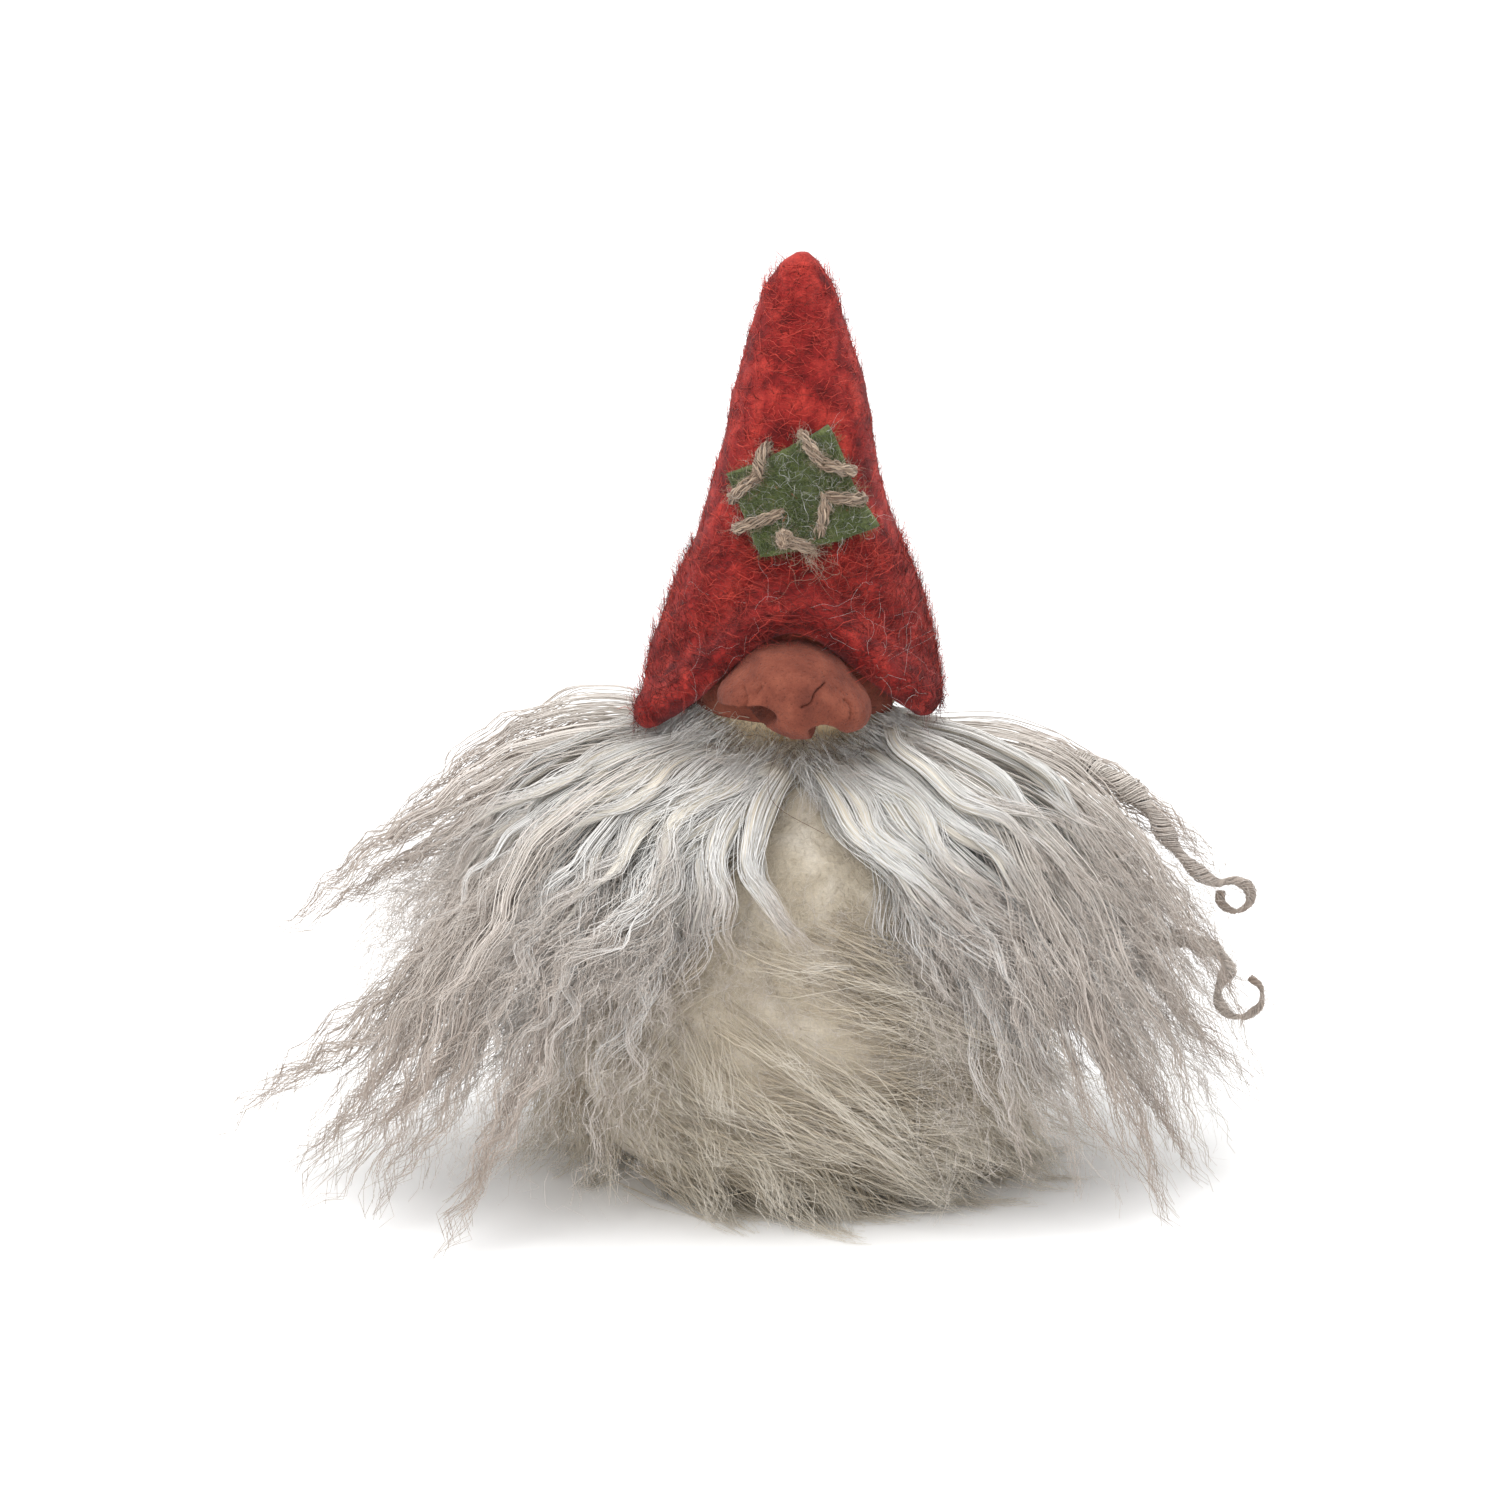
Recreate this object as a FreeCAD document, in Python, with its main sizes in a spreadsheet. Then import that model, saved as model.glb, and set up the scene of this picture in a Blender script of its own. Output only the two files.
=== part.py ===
import FreeCAD, Part
import math
import os
import re
import Sketcher
from FreeCAD import Placement, Rotation, Vector

# A tomte gnome figurine: a wool-covered, weighted body, a felted head with a
# clay nose, long locks of wool felted to a band at the neck, and a felt hat
# with a patch sewn on with jute twine. Millimetres, +Z up, the face towards -Y,
# the origin at the middle of the sole's underside.

SIZES = {
    # sole and ballast
    "sole_radius": 20.0,
    "sole_thick": 2.0,
    "sole_edge": 0.6,
    "ballast_radius": 15.0,
    "ballast_height": 11.0,
    "ballast_edge": 3.0,
    # body: two nested eggs, the felted core and the loose fleece round it
    "core_radius": 30.0,
    "core_rise": 36.0,
    "core_centre": 30.0,
    "fleece_radius": 37.5,
    "fleece_rise": 38.0,
    "fleece_centre": 28.0,
    "fleece_bottom": 0.2,
    "neck_level": 60.0,
    # head and the band that the locks are felted to
    "head_radius": 18.0,
    "head_centre": 82.0,
    "neck_radius": 12.8,
    "neck_top": 72.0,
    "band_radius": 17.0,
    "band_top": 69.0,
    # clay face: a curved plate with the nose on it, and its peg
    "plate_inner": 15.0,
    "plate_outer": 18.6,
    "plate_width": 29.0,
    "plate_bottom": 74.6,
    "plate_top": 89.5,
    "nose_width": 8.6,
    "nose_reach": 9.8,
    "nose_rise": 5.9,
    "nose_front": 20.5,
    "nose_level": 80.8,
    "wing_width": 4.9,
    "wing_rise": 4.5,
    "wing_reach": 7.4,
    "wing_offset": 6.3,
    "wing_front": 20.0,
    "wing_left_level": 79.8,
    "wing_right_level": 78.6,
    "septum_width": 4.2,
    "septum_rise": 2.9,
    "septum_reach": 7.2,
    "septum_side": 0.6,
    "septum_level": 77.0,
    "nostril_width": 2.6,
    "nostril_rise": 1.5,
    "nostril_reach": 3.0,
    "nostril_offset": 4.4,
    "nostril_left_level": 78.0,
    "nostril_right_level": 76.6,
    "nostril_front": 27.4,
    "peg_radius": 2.0,
    "peg_length": 11.0,
    "peg_front": 18.0,
    # locks: wedges of a bell that hangs from the neck band
    "lock_angle": 30.0,
    "brim_reach": 24.0,
    "wool_top": 69.6,
    "wool_gap": 0.3,
    "drape_radius": 80.0,
    "root_drop": 0.6,
    "tip_thick": 3.0,
    "tip_undercut": 1.0,
    "underside": 10.0,
    "underside_reach": 33.75,
    "ringlet_thick": 2.4,
    # hat
    "felt_wall": 2.6,
    "cavity_top": 138.0,
    "mouth_depth": 2.0,
    "mouth_overlap": 0.001,
    "arch_radius": 15.8,
    "arch_level": 71.5,
    "arch_depth": 40.0,
    "lobe_radius": 4.4,
    "lobe_side": 20.6,
    "lobe_front": 6.0,
    "lobe_level": 74.8,
    "stuffing_bottom": 100.6,
    # patch and its twine
    "patch_width": 18.5,
    "patch_rise": 16.5,
    "patch_thick": 1.3,
    "patch_turn": 20.0,
    "patch_level": 110.0,
    "patch_side": 0.8,
    "cutter_depth": 30.0,
    "twine_thick": 2.3,
    "twine_slack": 0.1,
    "trim_slack": 0.2,
    # each stitch by its inner hole, the reach past the patch's edge and its slant
    "hole_inset_across": 4.8,
    "hole_inset_up": 3.6,
    "hole_shift": 0.2,
    "stitch_apart": 1.35,
    "stitch_slant": 0.3,
    "stitch_over": 1.7,
    "knot_radius": 2.1,
    "knot_turn_radius": 0.8,
    "knot_inset_across": 7.6,
    "knot_inset_up": 2.2,
}

# The hat's sections from the brim to the tip: level, radius and lean to the right.
HAT_SECTIONS = [
    (70.8, 23.5, 0.0),
    (76.0, 23.0, 0.0),
    (84.0, 22.0, 0.0),
    (92.0, 19.5, 0.0),
    (100.0, 16.0, 0.0),
    (108.0, 13.5, 0.0),
    (116.0, 11.5, 0.5),
    (124.0, 10.0, 0.5),
    (132.0, 7.5, 0.5),
    (138.0, 5.5, 0.5),
    (142.5, 4.0, 0.5),
    (144.8, 2.0, 1.0),
]

# The locks of wool by the bearing of their middle (0 is right, 90 is the back):
# name, bearing, how far the tip reaches out and the tip's level.
LOCKS = [
    ("wool_right", 15, 76, 16),
    ("wool_right_rear", 45, 64, 14),
    ("wool_rear_right", 75, 55, 12),
    ("wool_rear_left", 105, 55, 12),
    ("wool_left_rear", 135, 64, 10),
    ("wool_left", 165, 80, 9),
    ("wool_left_front", 195, 87, 7),
    ("beard_left", 225, 72, 3.5),
    ("beard_centre_left", 255, 44, 32),
    ("beard_centre_right", 285, 43, 34),
    ("beard_right", 315, 66, 3.5),
    ("wool_right_front", 345, 73, 12),
]

# The corners of the patch by name: the side, then the way up.
CORNERS = {
    "top_left": (-1, 1),
    "top_right": (1, 1),
    "low_right": (1, -1),
    "low_left": (-1, -1),
}

# The bends of the ringlets' middle lines, from inside the wool to the curled tip.
RINGLETS = {
    "ringlet_upper": [
        (48, 8, 59.0),
        (54.5, 8, 61.5),
        (60.5, 7, 58.5),
        (64.0, 6, 52.5),
        (68.5, 5, 47.5),
        (72.0, 4, 45.5),
        (75.0, 4, 42.0),
        (72.0, 4.5, 39.0),
        (69.2, 5.5, 42.0),
    ],
    "ringlet_lower": [
        (60, 3, 33.0),
        (66, 2, 31.0),
        (71.5, 1, 30.5),
        (74.0, 0, 26.0),
        (77.5, 0, 23.5),
        (80.0, 0, 26.5),
        (79.0, 0, 31.0),
    ],
}

# How many of the hat's sections, from the brim up, go round its hollow.
HOLLOW_SECTIONS = 10

# Solids that share less than this many cubic millimetres only touch.
TOUCHING = 1e-6

doc = FreeCAD.newDocument("tomte_gnome")
sheet = doc.addObject("Spreadsheet::Sheet", "Dims")
made = {}


def fill_sheet():
    """Every driving dimension in a cell of its own, with its alias."""
    sizes = dict(SIZES)
    for i, (level, radius, lean) in enumerate(HAT_SECTIONS):
        sizes[f"hat_level_{i}"] = level
        sizes[f"hat_radius_{i}"] = radius
        sizes[f"hat_lean_{i}"] = lean
    for name, bearing, reach, tip in LOCKS:
        sizes[f"{name}_bearing"] = bearing
        sizes[f"{name}_reach"] = reach
        sizes[f"{name}_tip"] = tip
    for row, (alias, number) in enumerate(sizes.items(), start=1):
        sheet.set(f"A{row}", alias)
        sheet.set(f"B{row}", str(number))
        sheet.setAlias(f"B{row}", alias)
    doc.recompute()
    return sizes


SHEET_SIZES = fill_sheet()


def amount(formula):
    """The number that a sum of aliases, plain numbers and simple products comes to."""
    total = 0.0
    for sign, term in re.findall(r"([+-]?)\s*([\w.*]+)", formula):
        product = 1.0
        for factor in term.split("*"):
            product *= SHEET_SIZES[factor] if factor in SHEET_SIZES else float(factor)
        total += -product if sign == "-" else product
    return total


def bind(item, prop, formula):
    """Binds a property of an object to a sum of the sheet's cells."""
    cells = re.sub(r"[a-z][a-z_]*[a-z0-9_]*", lambda word: "Dims." + word.group(), formula)
    item.setExpression(prop, cells)


def primitive(kind, label, sizes, place=(), turn=None):
    """A Part primitive with bound sizes. place is its x, y and z as formulas."""
    item = doc.addObject("Part::" + kind, label)
    item.Label = label
    if turn:
        item.Placement.Rotation = turn
    for prop, formula in sizes.items():
        bind(item, prop, formula)
    for axis, formula in zip("xyz", place):
        bind(item, "Placement.Base." + axis, formula)
    return item


def boolean(kind, label, *items):
    """A Part boolean: Cut and Common take two objects, MultiFuse any number."""
    item = doc.addObject("Part::" + kind, label)
    item.Label = label
    if kind == "MultiFuse":
        item.Shapes = list(items)
    else:
        item.Base, item.Tool = items
    return item


def slab(label, low, high):
    """A wide flat block between two levels, for cutting and for keeping."""
    width = 400
    block = doc.addObject("Part::Box", label)
    block.Label = label
    block.Length = block.Width = width
    bind(block, "Height", f"{high} - {low}")
    block.Placement.Base = Vector(-width / 2, -width / 2, 0)
    bind(block, "Placement.Base.z", low)
    return block


def body(label):
    item = doc.addObject("PartDesign::Body", label)
    item.Label = label
    return item


def sketch_on(owner, label, role):
    """A sketch on one of the body's own origin planes."""
    sketch = owner.newObject("Sketcher::SketchObject", label)
    plane = next(f for f in owner.Origin.OriginFeatures if f.Role == role)
    sketch.AttachmentSupport = [(plane, "")]
    sketch.MapMode = "FlatFace"
    return sketch


def circle_pad(label, radius, height, base):
    """A round disc in a body: a circle padded upwards from a level."""
    owner = body(label)
    sketch = sketch_on(owner, label + "_circle", "XY_Plane")
    bind(sketch, "AttachmentOffset.Base.z", base)
    circle = Part.Circle(Vector(0, 0, 0), Vector(0, 0, 1), amount(radius))
    index = sketch.addGeometry(circle, False)
    sketch.addConstraint(Sketcher.Constraint("Coincident", index, 3, -1, 1))
    size = sketch.addConstraint(Sketcher.Constraint("Radius", index, amount(radius)))
    bind(sketch, f"Constraints[{size}]", radius)
    pad = owner.newObject("PartDesign::Pad", label + "_pad")
    pad.Profile = sketch
    bind(pad, "Length", height)
    doc.recompute()
    return owner, pad


def round_edges(owner, base, label, size):
    """Rounds every circular edge of a disc."""
    fillet = owner.newObject("PartDesign::Fillet", label)
    count = len(base.Shape.Edges)
    edges = [
        f"Edge{i + 1}"
        for i in range(count)
        if base.Shape.Edges[i].Curve.TypeId == "Part::GeomCircle"
    ]
    fillet.Base = (base, edges)
    bind(fillet, "Radius", size)
    doc.recompute()
    owner.Tip = fillet
    return owner


def outline(sketch, points, arcs):
    """A closed outline of straight lines and arcs. Each point is (x, z) as formulas,
    and arcs gives the radius formula of each edge that bulges away from the axis."""
    places = [Vector(amount(x), amount(z), 0) for x, z in points]
    count = len(points)
    for i, start in enumerate(places):
        end = places[(i + 1) % count]
        if i not in arcs:
            sketch.addGeometry(Part.LineSegment(start, end), False)
            continue
        radius = amount(arcs[i])
        chord = end - start
        outward = Vector(-chord.y, chord.x, 0)
        outward.normalize()
        sagitta = radius - math.sqrt(radius**2 - chord.Length**2 / 4)
        middle = (start + end) * 0.5 + outward * sagitta
        sketch.addGeometry(Part.Arc(start, middle, end), False)
    for i, (x, z) in enumerate(points):
        previous = (i - 1) % count
        # An arc made through three points may run either way, so its matching end is looked up.
        here = end_near(sketch, i, places[i])
        there = end_near(sketch, previous, places[i])
        sketch.addConstraint(Sketcher.Constraint("Coincident", previous, there, i, here))
        for kind, formula in (("DistanceX", x), ("DistanceY", z)):
            size = sketch.addConstraint(
                Sketcher.Constraint(kind, -1, 1, i, here, amount(formula))
            )
            bind(sketch, f"Constraints[{size}]", formula)
    for i, radius in arcs.items():
        size = sketch.addConstraint(Sketcher.Constraint("Radius", i, amount(radius)))
        bind(sketch, f"Constraints[{size}]", radius)


def end_near(sketch, index, place):
    """Which end of an edge, 1 or 2, is at a place."""
    return min((1, 2), key=lambda end: sketch.getPoint(index, end).distanceToPoint(place))


def keep(name, item):
    """Marks an object as the sub-part of that name."""
    item.Label = name
    made[name] = item
    return item


# ---------------------------------------------------------------- base and body


def make_sole():
    """The felt sole that closes the body underneath, and that the figure stands on."""
    owner, pad = circle_pad("sole_disc", "sole_radius", "sole_thick", "0")
    keep("sole_disc", round_edges(owner, pad, "sole_rounding", "sole_edge"))


def make_ballast():
    """The bag of stones that keeps the figure upright, a flat puck on the sole."""
    owner, pad = circle_pad("ballast_bag", "ballast_radius", "ballast_height", "sole_thick")
    return keep("ballast_bag", round_edges(owner, pad, "ballast_rounding", "ballast_edge"))


def egg(label, radius, rise, centre):
    """A full egg about the vertical axis."""
    sizes = {"Radius1": rise, "Radius2": radius, "Radius3": radius}
    return primitive("Ellipsoid", label, sizes, ("0", "0", centre))


def make_body(ballast):
    """The felted core, with a pocket for the ballast, and the fleece wound round it."""
    whole = egg("core_egg", "core_radius", "core_rise", "core_centre")
    cut_off = boolean("Common", "core_cut", whole, slab("core_slab", "sole_thick", "neck_level"))
    keep("body_core", boolean("Cut", "body_core_solid", cut_off, ballast))

    outer = egg("fleece_egg", "fleece_radius", "fleece_rise", "fleece_centre")
    between = slab("fleece_slab", "fleece_bottom", "neck_level")
    ring = boolean("Common", "fleece_cut", outer, between)
    inner = egg("fleece_hollow", "core_radius", "core_rise", "core_centre")
    room = primitive(
        "Cylinder",
        "fleece_sole_room",
        {"Radius": "sole_radius", "Height": "sole_thick"},
        ("0", "0", "0"),
    )
    inside = boolean("MultiFuse", "fleece_inside", inner, room)
    keep("body_fleece", boolean("Cut", "body_fleece_solid", ring, inside))


# ---------------------------------------------------------------- head and face


def make_face():
    """The clay face: a curved plate let into the head, the nose on it and its nostrils."""
    centre = ("0", "0", "head_centre")
    outer = primitive("Sphere", "plate_outside", {"Radius": "plate_outer"}, centre)
    inner = primitive("Sphere", "plate_inside", {"Radius": "plate_inner"}, centre)
    shell = boolean("Cut", "plate_shell", outer, inner)
    window = primitive(
        "Box",
        "plate_window",
        {
            "Length": "plate_width",
            "Width": "plate_outer + 1",
            "Height": "plate_top - plate_bottom",
        },
        ("-0.5*plate_width", "-plate_outer - 1", "plate_bottom"),
    )
    plate = boolean("Common", "plate", shell, window)
    bridge = primitive(
        "Ellipsoid",
        "nose_bridge",
        {"Radius1": "nose_rise", "Radius2": "nose_width", "Radius3": "nose_reach"},
        ("0", "-nose_front", "nose_level"),
    )
    wings = [
        primitive(
            "Ellipsoid",
            f"nose_wing_{side}",
            {"Radius1": "wing_rise", "Radius2": "wing_width", "Radius3": "wing_reach"},
            (f"{sign}*wing_offset", "-wing_front", f"wing_{side}_level"),
        )
        for side, sign in (("left", -1), ("right", 1))
    ]
    septum = primitive(
        "Ellipsoid",
        "nose_septum",
        {"Radius1": "septum_rise", "Radius2": "septum_width", "Radius3": "septum_reach"},
        ("septum_side", "-nose_front", "septum_level"),
    )
    solid = boolean("MultiFuse", "clay_lumps", plate, bridge, *wings, septum)
    back = primitive("Sphere", "clay_back", {"Radius": "plate_inner"}, centre)
    solid = boolean("Cut", "clay_front", solid, back)
    holes = [
        primitive(
            "Ellipsoid",
            f"nostril_{side}",
            {"Radius1": "nostril_rise", "Radius2": "nostril_width", "Radius3": "nostril_reach"},
            (f"{sign}*nostril_offset", "-nostril_front", f"nostril_{side}_level"),
        )
        for side, sign in (("left", -1), ("right", 1))
    ]
    solid = boolean("Cut", "clay_nostrils", solid, boolean("MultiFuse", "nostrils", *holes))

    peg = primitive(
        "Cylinder",
        "face_peg",
        {"Radius": "peg_radius", "Height": "peg_length"},
        ("0", "-peg_front", "nose_level"),
        Rotation(Vector(1, 0, 0), -90),
    )
    keep("face_peg", peg)
    keep("clay_face", boolean("Cut", "clay_face_solid", solid, peg))
    return window, peg


def make_head(window, peg):
    """The felted ball of the head on its neck, with the seat of the clay face cut in."""
    ball = primitive(
        "Sphere", "head_ball", {"Radius": "head_radius"}, ("0", "0", "head_centre")
    )
    neck = primitive(
        "Cylinder",
        "head_neck",
        {"Radius": "neck_radius", "Height": "neck_top - neck_level"},
        ("0", "0", "neck_level"),
    )
    solid = boolean("MultiFuse", "head_lumps", ball, neck)
    inner = primitive(
        "Sphere", "seat_ball", {"Radius": "plate_inner"}, ("0", "0", "head_centre")
    )
    seat = boolean("Cut", "face_seat", window, inner)
    room = boolean("MultiFuse", "head_room", seat, peg)
    return keep("head_core", boolean("Cut", "head_core_solid", solid, room))


def make_band():
    """The felted band round the neck that holds the roots of the locks."""
    outer = primitive(
        "Cylinder",
        "band_outside",
        {"Radius": "band_radius", "Height": "band_top - neck_level"},
        ("0", "0", "neck_level"),
    )
    inner = primitive(
        "Cylinder",
        "band_inside",
        {"Radius": "neck_radius", "Height": "band_top - neck_level"},
        ("0", "0", "neck_level"),
    )
    keep("neck_band", boolean("Cut", "neck_band_solid", outer, inner))


# ---------------------------------------------------------------- locks of wool


def make_lock(name, bearing):
    """One group of locks: a wedge of a bell, from the neck band out and down to its tip."""
    owner = body(name + "_wedge")
    sketch = sketch_on(owner, name + "_outline", "XZ_Plane")
    reach, tip = f"{name}_reach", f"{name}_tip"
    points = [
        ("band_radius", "wool_top - root_drop"),
        ("brim_reach", "wool_top"),
        (reach, f"{tip} + tip_thick"),
        (f"{reach} - tip_undercut", tip),
        ("underside_reach", f"{tip} + underside"),
        ("band_radius", "neck_level + wool_gap"),
    ]
    outline(sketch, points, {1: "drape_radius"})
    turn = owner.newObject("PartDesign::Revolution", name + "_turn")
    turn.Profile = sketch
    turn.ReferenceAxis = (sketch, ["V_Axis"])
    bind(turn, "Angle", "lock_angle")
    owner.Placement.Rotation = Rotation(Vector(0, 0, 1), bearing - amount("0.5*lock_angle"))
    room = boolean(
        "Common",
        name + "_room",
        egg(
            name + "_egg",
            "fleece_radius + wool_gap",
            "fleece_rise + wool_gap",
            "fleece_centre",
        ),
        slab(name + "_slab", "0", "neck_level + wool_gap"),
    )
    return keep(name, boolean("Cut", name + "_solid", owner, room))


def tube(points, radius):
    """A round tube along straight runs joined by tangent arcs, as one solid."""
    corners = [Vector(*p) for p in points]
    edges, start = [], corners[0]
    for before, corner, after in zip(corners, corners[1:], corners[2:]):
        back, on = before - corner, after - corner
        trim = 0.45 * min(back.Length, on.Length)
        back.normalize()
        on.normalize()
        first, last = corner + back * trim, corner + on * trim
        half = math.acos(max(-1.0, min(1.0, back.dot(on)))) / 2
        inward = back + on
        inward.normalize()
        centre = corner + inward * (trim / math.cos(half))
        bend = trim * math.tan(half)
        towards = corner - centre
        towards.normalize()
        edges.append(Part.LineSegment(start, first).toShape())
        edges.append(Part.Arc(first, centre + towards * bend, last).toShape())
        start = last
    edges.append(Part.LineSegment(start, corners[-1]).toShape())
    path = Part.Wire(edges)
    along = corners[1] - corners[0]
    ring = Part.Wire([Part.Circle(corners[0], along, radius).toShape()])
    return path.makePipeShell([ring], True, False)


def feature(name, shape):
    """A Part::Feature holding a shape that the code above worked out from the sheet."""
    item = doc.addObject("Part::Feature", name + "_shape")
    item.Shape = shape
    item.Label = name + "_shape"
    return item


def make_ringlets(wool_right):
    """Two thin ringlets that stand out of the wool at the right, each with a curled tip."""
    half = amount("0.5*ringlet_thick")
    for name, points in RINGLETS.items():
        whole = feature(name, tube(points, half))
        keep(name, boolean("Cut", name + "_solid", whole, wool_right))


# ---------------------------------------------------------------- hat


def hat_loft(label, change, count, top=None):
    """A smooth cone through the hat's lowest sections. change ends each radius's
    formula, and top, where given, is the level that the last section moves to."""
    rings = []
    for i in range(count):
        ring = doc.addObject("Part::Circle", f"{label}_ring_{i}")
        bind(ring, "Radius", f"hat_radius_{i} {change}")
        bind(ring, "Placement.Base.x", f"hat_lean_{i}")
        bind(ring, "Placement.Base.z", f"hat_level_{i}")
        rings.append(ring)
    if top:
        bind(rings[-1], "Placement.Base.z", top)
    loft = doc.addObject("Part::Loft", label)
    loft.Label = label
    loft.Sections = rings
    loft.Solid = True
    loft.Ruled = False
    return loft


def below(label, low, high, item):
    """The part of an object between two levels."""
    return boolean("Common", label, item, slab(label + "_slab", low, high))


def make_hat(stitches, runs):
    """The hat: a felt cone, open below, arched over the nose, with the needle holes
    of the twine, and the wool stuffing that keeps its point up."""
    outer = hat_loft("hat_outside", "", len(HAT_SECTIONS))
    lobe = primitive(
        "Sphere",
        "brim_lobe",
        {"Radius": "lobe_radius"},
        ("-lobe_side", "-lobe_front", "lobe_level"),
    )
    solid = boolean("MultiFuse", "hat_lumps", outer, lobe)
    hollow = hat_loft("hat_hollow", "- felt_wall", HOLLOW_SECTIONS, "cavity_top")
    mouth = primitive(
        "Cylinder",
        "hat_mouth",
        {"Radius": "hat_radius_0 - felt_wall", "Height": "mouth_depth"},
        ("hat_lean_0", "0", "hat_level_0 - mouth_depth + mouth_overlap"),
    )
    arch = primitive(
        "Cylinder",
        "hat_arch",
        {"Radius": "arch_radius", "Height": "arch_depth"},
        ("0", "0", "arch_level"),
        Rotation(Vector(1, 0, 0), 90),
    )
    room = boolean("MultiFuse", "hat_room", hollow, mouth, arch)
    shell = boolean("Cut", "hat_open", solid, room)
    keep("hat_shell", boolean("Cut", "hat_shell_solid", shell, stitches))

    inside = hat_loft("stuffing_cone", "- felt_wall", HOLLOW_SECTIONS, "cavity_top")
    stuffing = below("stuffing_cut", "stuffing_bottom", "cavity_top", inside)
    keep("hat_stuffing", boolean("Cut", "hat_stuffing_solid", stuffing, runs))


def hat_radius_at(level):
    """The hat's outside radius and lean at a level, between its sections."""
    for (z0, r0, x0), (z1, r1, x1) in zip(HAT_SECTIONS, HAT_SECTIONS[1:]):
        if z0 <= level <= z1:
            share = (level - z0) / (z1 - z0)
            return r0 + (r1 - r0) * share, x0 + (x1 - x0) * share
    raise ValueError(f"no hat at level {level}")


def on_hat(across, up, out):
    """A point of the patch's own grid, in front of the hat's surface by out.
    across and up are measured from the patch's middle, along its turned sides."""
    turn = math.radians(amount("patch_turn"))
    side = amount("patch_side") + across * math.cos(turn) - up * math.sin(turn)
    level = amount("patch_level") + across * math.sin(turn) + up * math.cos(turn)
    radius, lean = hat_radius_at(level)
    angle = math.asin(max(-1.0, min(1.0, (side - lean) / (radius + 1))))
    reach = radius + out
    return Vector(lean + reach * math.sin(angle), -reach * math.cos(angle), level)


def make_patch(stitches):
    """The felt patch: a turned square of a skin that lies on the hat's front."""
    under = hat_loft("patch_underside", "", len(HAT_SECTIONS))
    over = hat_loft("patch_outside", "+ patch_thick", len(HAT_SECTIONS))
    skin = boolean("Cut", "patch_skin", over, under)
    cutter = primitive(
        "Box",
        "patch_cutter",
        {"Length": "patch_width", "Width": "cutter_depth", "Height": "patch_rise"},
    )
    turn = Rotation(Vector(0, 1, 0), -amount("patch_turn"))
    corner = Vector(
        -amount("0.5*patch_width"), -amount("cutter_depth"), -amount("0.5*patch_rise")
    )
    middle = Vector(amount("patch_side"), 0, amount("patch_level"))
    cutter.Placement = Placement(middle + turn.multVec(corner), turn)
    square = boolean("Common", "patch_square", skin, cutter)
    keep("hat_patch", boolean("Cut", "hat_patch_solid", square, stitches))


def staple(start, end):
    """One stitch: down through felt at both ends, and over the patch's edge between.
    start and end are places on the patch's grid."""
    half = amount("0.5*twine_thick")
    proud = amount("patch_thick + twine_slack") + half
    deep = -amount("felt_wall") - half
    legs = [
        on_hat(*start, deep),
        on_hat(*start, proud),
        on_hat(*end, proud),
        on_hat(*end, deep),
    ]
    return tube([tuple(p) for p in legs], half)


def hole_of(corner):
    """The place, on the patch's grid, of the hole that a corner's two stitches share."""
    x, z = corner
    across = amount("0.5*patch_width - hole_inset_across")
    up = amount("0.5*patch_rise - hole_inset_up")
    return x * across, z * up


def make_stitches():
    """The eight stitches of jute twine: two from each corner's inner hole, one over the
    side of the patch and one over its top or bottom edge."""
    apart, slant = amount("stitch_apart"), amount("stitch_slant")
    past_side = amount("0.5*patch_width + stitch_over")
    past_edge = amount("0.5*patch_rise + stitch_over")
    stitches = {}
    for name, (x, z) in CORNERS.items():
        hole_x, hole_z = hole_of((x, z))
        level = hole_z - z * apart
        place = hole_x - x * apart
        stitches[f"stitch_{name}_side"] = staple(
            (hole_x, level), (x * past_side, level - z * slant)
        )
        stitches[f"stitch_{name}_edge"] = staple(
            (place, hole_z + z * amount("hole_shift")), (place - x * slant, z * past_edge)
        )
    return stitches


def make_knot():
    """The knot that ties the twine off over the low left stitch: a ball with a turn round it."""
    radius = amount("knot_radius")
    place = on_hat(
        amount("knot_inset_across - 0.5*patch_width"),
        amount("knot_inset_up - 0.5*patch_rise"),
        amount("patch_thick + knot_radius + trim_slack"),
    )
    ball = Part.makeSphere(radius, place)
    turn = Part.makeTorus(radius, amount("knot_turn_radius"), place, Vector(0.5, -0.6, 0.6))
    return ball.fuse(turn)


def make_twine():
    """All the twine: the stitches, the knot and the runs inside, and the tools that cut
    its holes in the felt and in the stuffing."""
    stitches = make_stitches()
    knot = make_knot()
    names = list(stitches)
    # Stitches that touch give way to the ones before them, so that no two solids overlap.
    for i, name in enumerate(names):
        for other in names[:i]:
            if stitches[name].common(stitches[other]).Volume > TOUCHING:
                stitches[name] = largest(stitches[name].cut(stitches[other]))
        if stitches[name].common(knot).Volume > TOUCHING:
            knot = largest(knot.cut(stitches[name]))
    for name, shape in stitches.items():
        keep(name, feature(name, shape))
    everything = Part.makeCompound(list(stitches.values()) + [knot])
    keep("twine_knot", feature("twine_knot", knot))

    half = amount("0.5*twine_thick")
    depth = -amount("felt_wall + twine_slack") - half
    loop = [hole_of(CORNERS[name]) for name in ("low_left", "top_left", "top_right", "low_right")]
    runs = None
    for start, end in zip(loop, loop[1:]):
        a, b = on_hat(*start, depth), on_hat(*end, depth)
        rod = Part.makeCylinder(half, (b - a).Length, a, b - a)
        for piece in (rod, Part.makeSphere(half, a), Part.makeSphere(half, b)):
            runs = piece if runs is None else runs.fuse(piece)
    runs = largest(runs.common(hat_inside()).cut(everything))
    keep("twine_inner_runs", feature("twine_inner_runs", runs))
    room = runs.fuse(everything.Solids)
    return feature("twine_tool", everything), feature("runs_tool", room)


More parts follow.
